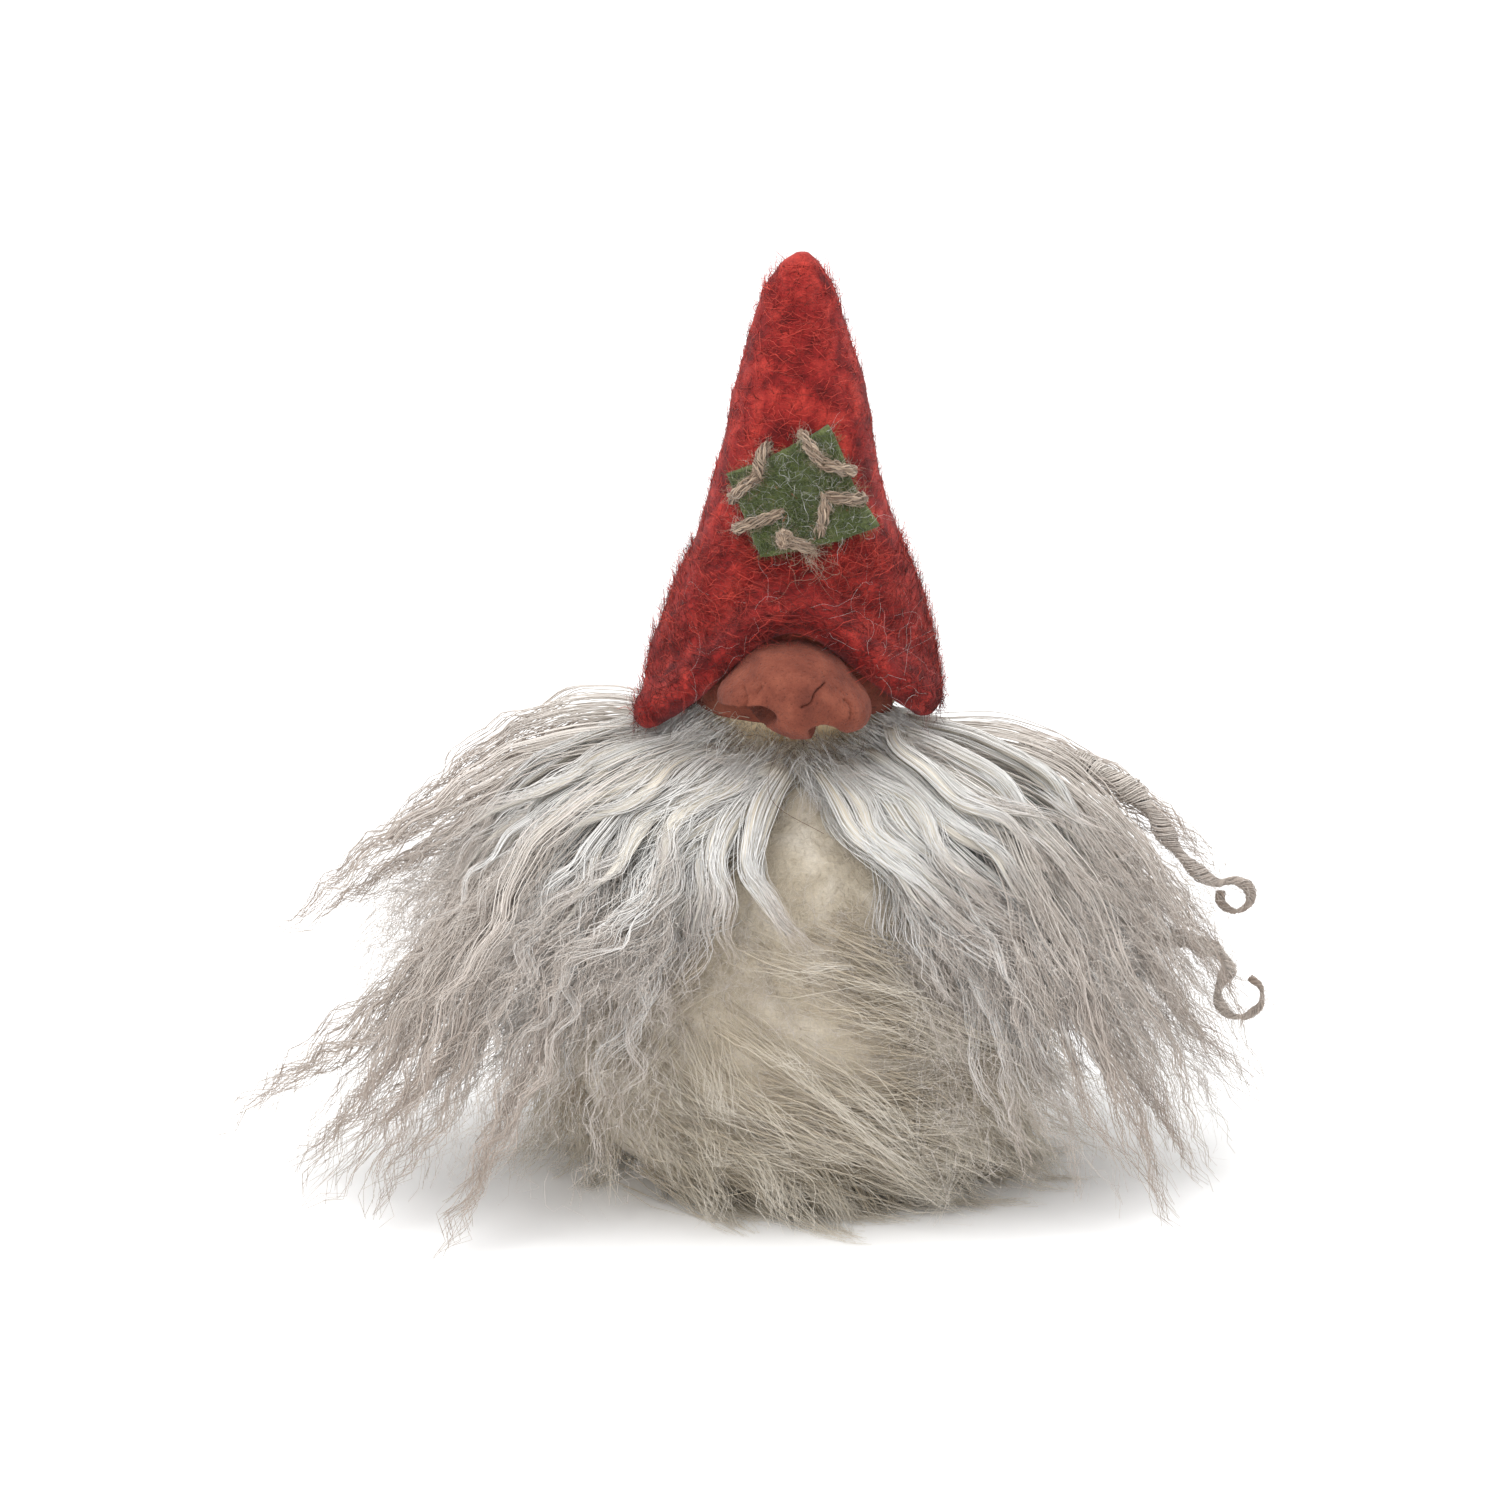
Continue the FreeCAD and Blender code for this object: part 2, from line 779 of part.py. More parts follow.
def hat_inside():
    """The hat's hollow as a plain shape, a little small, to trim what lies in it."""
    wall = amount("felt_wall + trim_slack")
    rings = [
        Part.Wire([Part.Circle(Vector(x, 0, z), Vector(0, 0, 1), r - wall).toShape()])
        for z, r, x in HAT_SECTIONS[: HOLLOW_SECTIONS - 1]
    ]
    return Part.makeLoft(rings, True, False)


def largest(shape):
    """The biggest solid of a shape, without the slivers that a cut can leave."""
    return max(shape.Solids, key=lambda solid: solid.Volume)


# ---------------------------------------------------------------- build and export


def check_and_export():
    doc.recompute()
    failed = [o.Name for o in doc.Objects if {"Invalid", "Error"} & set(o.State)]
    if failed:
        raise RuntimeError(f"these objects failed: {failed}")
    os.makedirs("parts", exist_ok=True)
    for name, item in made.items():
        shape = item.Shape
        if shape.isNull() or not shape.isValid() or not shape.Solids:
            raise RuntimeError(f"{name} has no valid solid")
        shape.exportStep(f"parts/{name}.step")
        box = shape.BoundBox
        print(
            f"{name:24s} {len(shape.Solids)} solid(s) {shape.Volume:9.1f} mm3  "
            f"x {box.XMin:6.1f} {box.XMax:6.1f}  y {box.YMin:6.1f} {box.YMax:6.1f}  "
            f"z {box.ZMin:6.1f} {box.ZMax:6.1f}"
        )


def main():
    make_sole()
    make_body(make_ballast())
    window, peg = make_face()
    make_head(window, peg)
    make_band()
    wool = {name: make_lock(name, bearing) for name, bearing, _, _ in LOCKS}
    doc.recompute()
    make_ringlets(wool["wool_right"])
    stitches, runs = make_twine()
    make_hat(stitches, runs)
    make_patch(stitches)
    check_and_export()


main()
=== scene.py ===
import math

import bpy
import bmesh
import numpy as np
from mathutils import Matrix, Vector


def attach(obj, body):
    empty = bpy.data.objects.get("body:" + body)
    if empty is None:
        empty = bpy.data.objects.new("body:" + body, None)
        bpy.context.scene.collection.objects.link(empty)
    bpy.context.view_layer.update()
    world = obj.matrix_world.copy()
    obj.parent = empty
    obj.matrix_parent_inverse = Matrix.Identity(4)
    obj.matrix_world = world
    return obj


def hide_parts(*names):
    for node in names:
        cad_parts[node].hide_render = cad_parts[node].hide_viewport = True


# The tomte's looks. Lengths in this file are millimetres until a mesh is made, in the
# frame of the CAD model: +Z up, the face towards -Y, the origin under the sole.

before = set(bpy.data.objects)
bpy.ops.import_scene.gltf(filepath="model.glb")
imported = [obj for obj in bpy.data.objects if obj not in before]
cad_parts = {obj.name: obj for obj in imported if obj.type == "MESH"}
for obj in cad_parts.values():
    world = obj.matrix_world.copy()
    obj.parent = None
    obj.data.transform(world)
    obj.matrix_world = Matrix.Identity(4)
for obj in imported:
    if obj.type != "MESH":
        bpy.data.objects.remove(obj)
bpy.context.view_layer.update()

MM = 0.001
FLOOR_GAP = 0.3
rng = np.random.default_rng(7)


# ---------------------------------------------------------------- numbers


def lerp(a, b, share):
    return a + (b - a) * share


def ease(low, high, x):
    """0 below low, 1 above high, and smooth between."""
    x = np.clip((x - low) / (high - low), 0, 1)
    return x * x * (3 - 2 * x)


def unit(v):
    return v / (np.linalg.norm(v, axis=-1, keepdims=True) + 1e-12)


def hashed(cells, seed):
    """A number from 0 to 1 for each whole-number cell."""
    x, y, z = (cells[..., i].astype(np.int64) for i in range(3))
    h = x * 374761393 + y * 668265263 + z * 2147483647 + seed * 974634777
    h = (h ^ (h >> 13)) * 1274126177
    h = h ^ (h >> 16)
    return (h & 0xFFFFFF) / 0xFFFFFF


def noise(points, size, seed=0):
    """Smooth noise from -1 to 1 at points, with lumps about size across."""
    p = np.asarray(points, float) / size
    base = np.floor(p)
    part = p - base
    part = part * part * (3 - 2 * part)
    total = np.zeros(p.shape[:-1])
    for dx in (0, 1):
        for dy in (0, 1):
            for dz in (0, 1):
                weight = (
                    (part[..., 0] if dx else 1 - part[..., 0])
                    * (part[..., 1] if dy else 1 - part[..., 1])
                    * (part[..., 2] if dz else 1 - part[..., 2])
                )
                total += weight * hashed(base + np.array([dx, dy, dz]), seed)
    return total * 2 - 1


def smooth_line(points, count):
    """A smooth line through points, as count points evenly spaced along it."""
    p = np.asarray(points, float)
    p = np.vstack([2 * p[0] - p[1], p, 2 * p[-1] - p[-2]])
    fine = []
    for a, b, c, d in zip(p, p[1:], p[2:], p[3:]):
        for t in np.linspace(0, 1, 16, endpoint=False):
            fine.append(
                0.5
                * (2 * b + (c - a) * t + (2 * a - 5 * b + 4 * c - d) * t**2 + (3 * b - a - 3 * c + d) * t**3)
            )
    fine.append(p[-2])
    fine = np.array(fine)
    along = np.r_[0, np.cumsum(np.linalg.norm(np.diff(fine, axis=0), axis=1))]
    at = np.linspace(0, along[-1], count)
    return np.stack([np.interp(at, along, fine[:, i]) for i in range(3)], axis=1)


# ---------------------------------------------------------------- meshes


def make_mesh(name, points, quads, tris=None, uv=None):
    """An object from millimetre points, four-sided faces and, where given, triangles."""
    tris = np.empty((0, 3), int) if tris is None else tris
    corners = np.concatenate([quads.ravel(), tris.ravel()]).astype(np.int32)
    starts = np.concatenate(
        [np.arange(len(quads)) * 4, len(quads) * 4 + np.arange(len(tris)) * 3]
    ).astype(np.int32)
    mesh = bpy.data.meshes.new(name)
    mesh.vertices.add(len(points))
    mesh.vertices.foreach_set("co", (points * MM).astype(np.float32).ravel())
    mesh.loops.add(len(corners))
    mesh.loops.foreach_set("vertex_index", corners)
    mesh.polygons.add(len(starts))
    mesh.polygons.foreach_set("loop_start", starts)
    mesh.update(calc_edges=True)
    if uv is not None:
        layer = mesh.uv_layers.new(name="OFBake")
        layer.data.foreach_set("uv", uv[corners].astype(np.float32).ravel())
    mesh.shade_smooth()
    piece = bpy.data.objects.new(name, mesh)
    bpy.context.scene.collection.objects.link(piece)
    return piece


def grid_faces(rows, columns, closed=True):
    """Quads of a grid of points laid out row by row. closed joins the last column to the first."""
    r, c = np.meshgrid(np.arange(rows - 1), np.arange(columns if closed else columns - 1), indexing="ij")
    here = r * columns + c
    beside = r * columns + (c + 1) % columns
    return np.stack([here, beside, beside + columns, here + columns], axis=-1).reshape(-1, 4)


def end_caps(steps, sides):
    """Triangles that close both ends of a tube."""
    first = np.array([[0, i + 1, i] for i in range(1, sides - 1)])
    last = np.array([[0, i, i + 1] for i in range(1, sides - 1)]) + (steps - 1) * sides
    return np.vstack([first, last])


def tubes(paths, radii, sides=3):
    """Closed tubes along many paths at once: (points, quads, triangles).
    paths holds strands x points x 3, and radii strands x points."""
    strands, steps = paths.shape[:2]
    along = unit(np.gradient(paths, axis=1))
    normal = np.empty_like(paths)
    across = unit(rng.normal(size=(strands, 3)))
    for i in range(steps):
        across = across - (across * along[:, i]).sum(1, keepdims=True) * along[:, i]
        across = unit(across)
        normal[:, i] = across
    side = np.cross(along, normal)
    turn = np.arange(sides) * 2 * math.pi / sides
    ring = (
        np.cos(turn)[None, None, :, None] * normal[:, :, None]
        + np.sin(turn)[None, None, :, None] * side[:, :, None]
    )
    points = paths[:, :, None] + ring * radii[:, :, None, None]
    per = steps * sides
    one = grid_faces(steps, sides)
    offsets = np.arange(strands)[:, None, None] * per
    quads = (one[None] + offsets).reshape(-1, 4)
    tris = (end_caps(steps, sides)[None] + offsets).reshape(-1, 3)
    return points.reshape(-1, 3), quads, tris


# How many columns of tone the strands are sorted into.
TONES = 64


def strand_uv(strands, steps, sides, tone):
    """Coordinates for tubes: each strand's tone picks a narrow column, and v runs root to tip."""
    column = np.floor(np.clip(tone, 0, 0.999) * TONES)
    u = (column[:, None, None] + np.linspace(0.15, 0.85, sides)[None, None, :]) / TONES
    v = np.linspace(0.01, 0.99, steps)[None, :, None]
    u, v = np.broadcast_arrays(u, v)
    return np.stack([u, v], axis=-1).reshape(-1, 2)


class Bundle:
    """Strands of hair or fibre that are gathered up and become one mesh."""

    def __init__(self):
        self.points, self.quads, self.tris, self.uv = [], [], [], []
        self.count = 0

    def add(self, paths, radii, tone, sides=3):
        points, quads, tris = tubes(paths, radii, sides)
        self.uv.append(strand_uv(paths.shape[0], paths.shape[1], sides, tone))
        self.points.append(points)
        self.quads.append(quads + self.count)
        self.tris.append(tris + self.count)
        self.count += len(points)

    def extend(self, points, quads, tris, uv):
        """Adds a mesh that is already made."""
        self.points.append(points)
        self.quads.append(quads + self.count)
        self.tris.append(tris + self.count)
        self.uv.append(uv)
        self.count += len(points)

    def piece(self, name, body, material, slot, nodes=()):
        points = np.concatenate(self.points)
        points[:, 2] = np.maximum(points[:, 2], FLOOR_GAP * 0.3)
        piece = make_mesh(
            name, points, np.concatenate(self.quads), np.concatenate(self.tris), np.concatenate(self.uv)
        )
        return finish_piece(piece, body, material, nodes)


def finish_piece(piece, body, material, nodes=()):
    piece.data.materials.append(material)
    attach(piece, body)
    if nodes:
        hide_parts(*nodes)
    return piece


# ---------------------------------------------------------------- materials


def srgb(red, green, blue):
    """A colour given as 0 to 255 values, as the shader wants it."""
    def linear(value):
        value = value / 255
        return value / 12.92 if value <= 0.04045 else ((value + 0.055) / 1.055) ** 2.4

    return (linear(red), linear(green), linear(blue), 1.0)


class Shader:
    """A material under construction, with short names for the nodes that it uses."""

    def __init__(self, name, roughness, sheen=0.0, specular=0.5, sheen_tint=None):
        self.material = bpy.data.materials.new(name)
        self.material.use_nodes = True
        self.tree = self.material.node_tree
        self.bsdf = self.tree.nodes["Principled BSDF"]
        self.bsdf.inputs["Roughness"].default_value = roughness
        self.bsdf.inputs["Sheen Weight"].default_value = sheen
        self.bsdf.inputs["Sheen Roughness"].default_value = 0.4
        self.bsdf.inputs["Specular IOR Level"].default_value = specular
        if sheen_tint:
            self.bsdf.inputs["Sheen Tint"].default_value = sheen_tint

    def node(self, kind, **settings):
        made = self.tree.nodes.new("ShaderNode" + kind)
        for key, value in settings.items():
            setattr(made, key, value)
        return made

    def link(self, output, target):
        self.tree.links.new(output, target)

    def place(self, stretch=(1, 1, 1)):
        """Object coordinates in millimetres, stretched along the axes."""
        coordinates = self.node("TexCoord")
        scale = self.node("Mapping")
        scale.inputs["Scale"].default_value = [1000 * f for f in stretch]
        self.link(coordinates.outputs["Object"], scale.inputs["Vector"])
        return scale.outputs["Vector"]

    def noise(self, size, detail=4.0, rough=0.6, distortion=0.0, vector=None):
        """Noise with lumps about size millimetres across, from 0 to 1."""
        made = self.node("TexNoise")
        self.link(vector or self.place(), made.inputs["Vector"])
        made.inputs["Scale"].default_value = 1 / size
        made.inputs["Detail"].default_value = detail
        made.inputs["Roughness"].default_value = rough
        made.inputs["Distortion"].default_value = distortion
        return made.outputs["Fac"]

    def ramp(self, source, *stops):
        """A colour ramp with (place, colour) stops."""
        made = self.node("ValToRGB")
        elements = made.color_ramp.elements
        while len(elements) < len(stops):
            elements.new(0.5)
        for element, (position, colour) in zip(elements, stops):
            element.position = position
            element.color = colour
        self.link(source, made.inputs["Fac"])
        return made.outputs["Color"]

    def mix(self, share, first, second, blend="MIX"):
        made = self.node("Mix", data_type="RGBA", blend_type=blend)
        for value, socket in ((share, 0), (first, 6), (second, 7)):
            if isinstance(value, bpy.types.NodeSocket):
                self.link(value, made.inputs[socket])
            else:
                made.inputs[socket].default_value = value
        return made.outputs[2]

    def math(self, operation, first, second=0.5):
        made = self.node("Math", operation=operation)
        for value, socket in ((first, 0), (second, 1)):
            if isinstance(value, bpy.types.NodeSocket):
                self.link(value, made.inputs[socket])
            else:
                made.inputs[socket].default_value = value
        return made.outputs[0]

    def bump(self, height, distance, strength=1.0):
        """Bumps of about distance millimetres."""
        made = self.node("Bump")
        made.inputs["Distance"].default_value = distance * MM
        made.inputs["Strength"].default_value = strength
        self.link(height, made.inputs["Height"])
        self.link(made.outputs["Normal"], self.bsdf.inputs["Normal"])

    def colour(self, socket):
        self.link(socket, self.bsdf.inputs["Base Color"])


# Plain white and black, as the shader wants them.
WHITE = (1, 1, 1, 1)
BLACK = (0, 0, 0, 1)


def strand_material(name, stops, darkest, lightest=(1, 1, 1), roughness=0.45, sheen=0.25,
                    specular=0.5, bump=0.0):  # fmt: skip
    """Hair or fibre. stops are (place, colour) from root to tip, and each strand is toned by
    a shade between darkest and lightest."""
    s = Shader(name, roughness, sheen, specular)
    uv = s.node("UVMap", uv_map="OFBake")
    split = s.node("SeparateXYZ")
    s.link(uv.outputs["UV"], split.inputs[0])
    along = s.ramp(split.outputs["Y"], *((place, srgb(*colour)) for place, colour in stops))
    tone = s.ramp(split.outputs["X"], (0.0, (*darkest, 1)), (1.0, (*lightest, 1)))
    streak = s.node("TexNoise")
    stretch = s.node("Mapping")
    stretch.inputs["Scale"].default_value = (TONES, 9, 1)
    s.link(uv.outputs["UV"], stretch.inputs["Vector"])
    s.link(stretch.outputs["Vector"], streak.inputs["Vector"])
    streak.inputs["Scale"].default_value = 1.0
    shade = s.ramp(streak.outputs["Fac"], (0.3, (0.93, 0.93, 0.93, 1)), (0.7, WHITE))
    toned = s.mix(1.0, along, tone, "MULTIPLY")
    s.colour(s.mix(1.0, toned, shade, "MULTIPLY"))
    if bump:
        s.bump(streak.outputs["Fac"], bump)
    return s.material


def felt_material(name, colours, patch_size, fibre_size, bump=0.25, sheen=0.35, contrast=0.5):
    """Wet-felted wool: clouds of darker and lighter wool with fine fibres laid every way."""
    s = Shader(name, 0.92, sheen, 0.2)
    clouds = s.noise(patch_size, 3.0, 0.55, 0.4)
    fibres = s.noise(fibre_size, 5.0, 0.7, 1.6, s.place((1.0, 1.0, 0.35)))
    cross = s.noise(fibre_size * 0.8, 5.0, 0.7, 1.2, s.place((0.35, 0.35, 1.2)))
    both = s.math("MULTIPLY", s.math("ADD", fibres, cross), 0.5)
    base = s.ramp(clouds, *((place, srgb(*c)) for place, c in zip((0.34, 0.5, 0.68), colours)))
    low, high = 1 - contrast, 1 + contrast
    hairs = s.ramp(both, (0.36, (low, low, low, 1)), (0.5, WHITE), (0.66, (high, high, high, 1)))
    s.colour(s.mix(1.0, base, hairs, "MULTIPLY"))
    s.bump(both, bump)
    return s.material


def clay_material():
    """Low-fired terracotta, matt, with pits, finger marks and paler dust on the high spots."""
    s = Shader("terracotta_clay", 0.85, 0.05, 0.25)
    clouds = s.noise(5.0, 4.0, 0.6)
    grains = s.noise(0.35, 3.0, 0.7)
    cells = s.node("TexVoronoi", feature="F1")
    s.link(s.place(), cells.inputs["Vector"])
    cells.inputs["Scale"].default_value = 1 / 0.9
    base = s.ramp(
        clouds,
        (0.3, srgb(96, 47, 36)),
        (0.5, srgb(118, 61, 46)),
        (0.7, srgb(138, 77, 59)),
    )
    specks = s.ramp(grains, (0.28, (0.45, 0.42, 0.4, 1)), (0.42, WHITE))
    pits = s.ramp(cells.outputs["Distance"], (0.0, (0.55, 0.5, 0.5, 1)), (0.16, WHITE))
    s.colour(s.mix(1.0, s.mix(1.0, base, specks, "MULTIPLY"), pits, "MULTIPLY"))
    rough = s.math("MULTIPLY", s.ramp(cells.outputs["Distance"], (0.0, BLACK), (0.3, WHITE)), 0.6)
    s.bump(s.math("ADD", rough, grains), 0.3)
    return s.material


def wood_material():
    """A turned beech peg with its grain along Y."""
    s = Shader("peg_beech", 0.6, 0.0, 0.3)
    grain = s.noise(0.8, 5.0, 0.6, 0.3, s.place((1, 0.08, 1)))
    s.colour(s.ramp(grain, (0.3, srgb(150, 112, 72)), (0.5, srgb(190, 152, 106)), (0.7, srgb(212, 178, 132))))
    s.bump(grain, 0.08)
    return s.material


def cloth_material():
    """The undyed woven cotton of the ballast bag."""
    s = Shader("ballast_cotton", 0.9, 0.2, 0.2)
    waves = []
    for direction in ("X", "Y"):
        wave = s.node("TexWave", bands_direction=direction)
        s.link(s.place(), wave.inputs["Vector"])
        wave.inputs["Scale"].default_value = 0.5
        wave.inputs["Distortion"].default_value = 0.6
        waves.append(wave.outputs["Fac"])
    weave = s.math("MULTIPLY", waves[0], waves[1])
    s.colour(s.ramp(weave, (0.0, srgb(150, 138, 118)), (1.0, srgb(208, 198, 178))))
    s.bump(weave, 0.15)
    return s.material


def floor_material():
    s = Shader("studio_floor", 0.7, 0.0, 0.2)
    grain = s.noise(60, 2.0)
    s.colour(s.ramp(grain, (0.0, (0.90, 0.90, 0.90, 1)), (1.0, (0.93, 0.93, 0.93, 1))))
    return s.material


WOOL = strand_material(
    "longwool_locks",
    [(0, (232, 222, 202)), (0.1, (238, 236, 232)), (0.6, (236, 235, 233)), (0.82, (222, 214, 207)),
     (1, (196, 182, 170))],
    (0.93, 0.91, 0.88), roughness=0.4, bump=0.15,
)  # fmt: skip
TUFT = strand_material(
    "beige_lock_tufts",
    [(0, (236, 232, 225)), (0.5, (222, 214, 207)), (1, (168, 151, 138))],
    (0.86, 0.83, 0.8), roughness=0.5,
)  # fmt: skip
FRIZZ = strand_material(
    "frizzy_lock_ends",
    [(0, (220, 213, 206)), (0.5, (206, 197, 189)), (1, (180, 165, 153))],
    (0.88, 0.85, 0.82), roughness=0.5,
)  # fmt: skip
FLEECE = strand_material(
    "carded_fleece",
    [(0, (196, 182, 160)), (0.5, (214, 205, 188)), (1, (224, 218, 208))],
    (0.8, 0.76, 0.69), (1.0, 0.99, 0.98), roughness=0.6,
)  # fmt: skip
RED_FIBRE = strand_material(
    "red_felt_fibres", [(0, (156, 34, 32)), (1, (226, 90, 74))],
    (0.12, 0.08, 0.1), roughness=0.75, sheen=0.06, specular=0.2,
)  # fmt: skip
GREEN_FIBRE = strand_material(
    "green_felt_fibres", [(0, (60, 78, 28)), (1, (128, 142, 74))], (0.28, 0.3, 0.22), roughness=0.7,
)  # fmt: skip
JUTE = strand_material(
    "jute_twine",
    [(0, (176, 152, 128)), (0.5, (192, 170, 148)), (1, (182, 158, 136))],
    (0.28, 0.23, 0.2), roughness=0.65,
)  # fmt: skip
BROWN_HAIR = strand_material(
    "stray_brown_hair", [(0, (96, 66, 46)), (1, (132, 98, 72))], (0.5, 0.46, 0.42),
)  # fmt: skip
RED_FELT = felt_material(
    "red_felt", ((88, 18, 19), (132, 32, 30), (170, 54, 46)), 4.0, 0.35, sheen=0.08
)
GREEN_FELT = felt_material(
    "green_felt", ((60, 66, 36), (80, 88, 50), (102, 108, 70)), 4.0, 0.45, 0.3, 0.1
)
PALE_FELT = felt_material(
    "pale_felt", ((190, 178, 158), (204, 193, 174), (216, 207, 192)), 7.0, 0.5, contrast=0.16
)
SKIN_FELT = felt_material(
    "skin_felt", ((196, 168, 128), (212, 188, 150), (222, 202, 168)), 7.0, 0.6, 0.12, contrast=0.14
)
SOLE_FELT = felt_material(
    "sole_felt", ((170, 154, 128), (190, 176, 150), (206, 194, 170)), 6.0, 0.6
)
STUFFING = felt_material(
    "stuffing_wool", ((214, 200, 170), (228, 218, 194), (238, 230, 212)), 4.0, 0.7
)
CLAY = clay_material()


# ---------------------------------------------------------------- the wool's shape

# How far the wool spreads by bearing: 0 is right, 90 the back, 180 left, 270 the front.
SPREAD = [
    (0, 69), (20, 69), (45, 62), (75, 54), (105, 54), (135, 61), (160, 68),
    (180, 71), (197, 71), (212, 68), (226, 65), (240, 56), (255, 46), (270, 42),
    (285, 44), (300, 50), (315, 59), (328, 64), (345, 68), (360, 69),
]  # fmt: skip


def spread_at(bearing):
    angles, reaches = zip(*SPREAD)
    return np.interp(np.mod(bearing, 360), angles, reaches)


def polar(bearing, radius, height):
    """World points from bearings in degrees, radii and heights."""
    a = np.radians(bearing)
    return np.stack([radius * np.cos(a), radius * np.sin(a), height * np.ones_like(a)], axis=-1)


def round_about(bearing):
    """The level directions outward and anticlockwise at bearings in degrees."""
    a = np.radians(bearing)
    outward = np.stack([np.cos(a), np.sin(a), 0 * a], axis=-1)
    return outward, np.stack([-np.sin(a), np.cos(a), 0 * a], axis=-1)


def bezier(a, b, c, d, t):
    return a * (1 - t) ** 3 + 3 * b * t * (1 - t) ** 2 + 3 * c * t**2 * (1 - t) + d * t**3


def spine(root, tip, reach, tip_level, depth=0.0, steps=40):
    """The middle line of a lock, from the neck over the shoulder of the wool to its tip.
    depth is 0 for the top layer and 1 for one rooted low on the body."""
    t = np.linspace(0, 1, steps)
    frontness = math.exp(-(((np.mod(root, 360) - 270) / 38) ** 2))
    start_r, start_z = lerp(15.5, 27.0, depth), lerp(69.2 - 1.8 * frontness, 46.0, depth)
    out = reach - start_r
    drop = start_z - tip_level
    slump = 0.5 + 0.5 * math.cos(math.radians(root))
    radius = bezier(start_r, start_r + 0.30 * out, start_r + 0.72 * out, reach, t)
    crest = start_z + lerp(1.6, -1.2, slump) * (1 - depth)
    height = bezier(start_z, crest, tip_level + lerp(0.5, 0.43, slump) * drop, tip_level, t)
    bearing = root + (tip - root) * ease(0.0, 1.0, t) ** 0.8
    return polar(bearing, radius, height)


def surface_frame(line):
    """The direction along a line, outward from the figure's middle, and sideways."""
    along = unit(np.gradient(line, axis=0))
    centre = np.array([0.0, 0.0, 22.0])
    outward = unit(line - centre)
    side = unit(np.cross(along, outward))
    outward = unit(np.cross(side, along))
    return along, outward, side


def resample(line, at):
    """Points of a line at shares of its length, at holding strands x steps."""
    spaced = np.linspace(0, 1, len(line))
    return np.stack([np.interp(at, spaced, line[:, i]) for i in range(3)], axis=-1)


def lock(bundle, line, strands, width, thick, thickness=0.105, steps=36, wave=1.0, curl=1.0, tone=0.75,
         tone_spread=0.25, fingers=4, ends=(0.7, 1.0), swing=1.0, tip_width=0.45,
         loose=1.0, phase=None, core=0.0):
    """One lock of wavy wool along a line: strands that run together at the root, part into
    fingers, and crimp more and more towards their tips."""
    line = smooth_line(line, 64)
    length = np.linalg.norm(np.diff(line, axis=0), axis=1).sum()
    ending = rng.uniform(*ends, size=(strands, 1))
    at = ending * np.linspace(0, 1, steps)[None] ** 0.88
    _, outward, side = (resample(v, at) for v in surface_frame(line))
    centre = resample(line, at)

    angle = rng.uniform(0, 2 * math.pi, strands)
    far = np.sqrt(rng.uniform(0, 1, strands))
    spot = np.stack([np.cos(angle), np.sin(angle)], axis=1) * far[:, None]
    finger = rng.integers(0, fingers, strands)
    finger_spots = rng.uniform(-1, 1, (fingers, 2))
    gather = ease(0.25, 0.95, at)[..., None]
    own = rng.normal(0, 0.22, (strands, 1, 2))
    offset = spot[:, None] * (1 - gather) + (finger_spots[finger][:, None] + own) * gather
    shape = lerp(0.7, 1.0, ease(0, 0.25, at)) * lerp(1.0, tip_width, ease(0.5, 1.0, at))
    moved = centre + side * (offset[..., :1] * (width * shape)[..., None])
    moved = moved + outward * (offset[..., 1:] * (thick * shape)[..., None])

    run = at * length
    start = rng.uniform(0, 2 * math.pi) if phase is None else phase
    slow = swing * 1.5 * np.sin(run / 27 * 2 * math.pi + start) * ease(0.05, 0.4, at)
    finger_phase = rng.normal(0, 0.9, fingers)[finger][:, None]
    phase = start * 3 + finger_phase + rng.normal(0, 0.25, (strands, 1))
    mid = wave * 0.75 * np.sin(run / 9.5 * 2 * math.pi + phase) * ease(0.15, 0.8, at)
    size = rng.uniform(0.6, 1.3, (strands, 1))
    crimp_phase = phase * 2 + rng.normal(0, 0.5, (strands, 1))
    crimp = curl * 0.5 * size * ease(0.35, 1.0, at)
    moved = moved + side * (slow + mid + crimp * np.sin(run / 5.2 * 2 * math.pi + crimp_phase))[..., None]
    moved = moved + outward * (
        0.6 * mid + 0.8 * crimp * np.cos(run / 5.2 * 2 * math.pi + crimp_phase)
    )[..., None]

    for frequency, size in ((1.3, 0.9), (3.1, 0.45), (6.5, 0.2)):
        ways = rng.normal(0, 1, (3, strands, 1))
        turns = rng.uniform(0, 2 * math.pi, (3, strands, 1))
        wander = np.stack(
            [w * np.sin(at * frequency * 2 * math.pi + p) for w, p in zip(ways, turns)], axis=-1
        )
        moved = moved + wander * (size * loose * ease(0.1, 1.0, at) ** 1.5)[..., None]

    moved[..., 2] = np.where(
        moved[..., 2] < FLOOR_GAP, FLOOR_GAP + 0.15 * np.abs(moved[..., 2] - FLOOR_GAP) ** 0.5, moved[..., 2]
    )
    taper = lerp(1.0, 0.35, ease(0.55, 1.0, np.linspace(0, 1, steps)))[None]
    radii = thickness * rng.uniform(0.75, 1.25, (strands, 1)) * taper
    tones = np.clip(rng.normal(tone, tone_spread * 0.5, strands), 0, 1)
    bundle.add(moved, radii, tones)
    if core:
        lock_core(bundle, line, length, width, thick, swing, start, core)


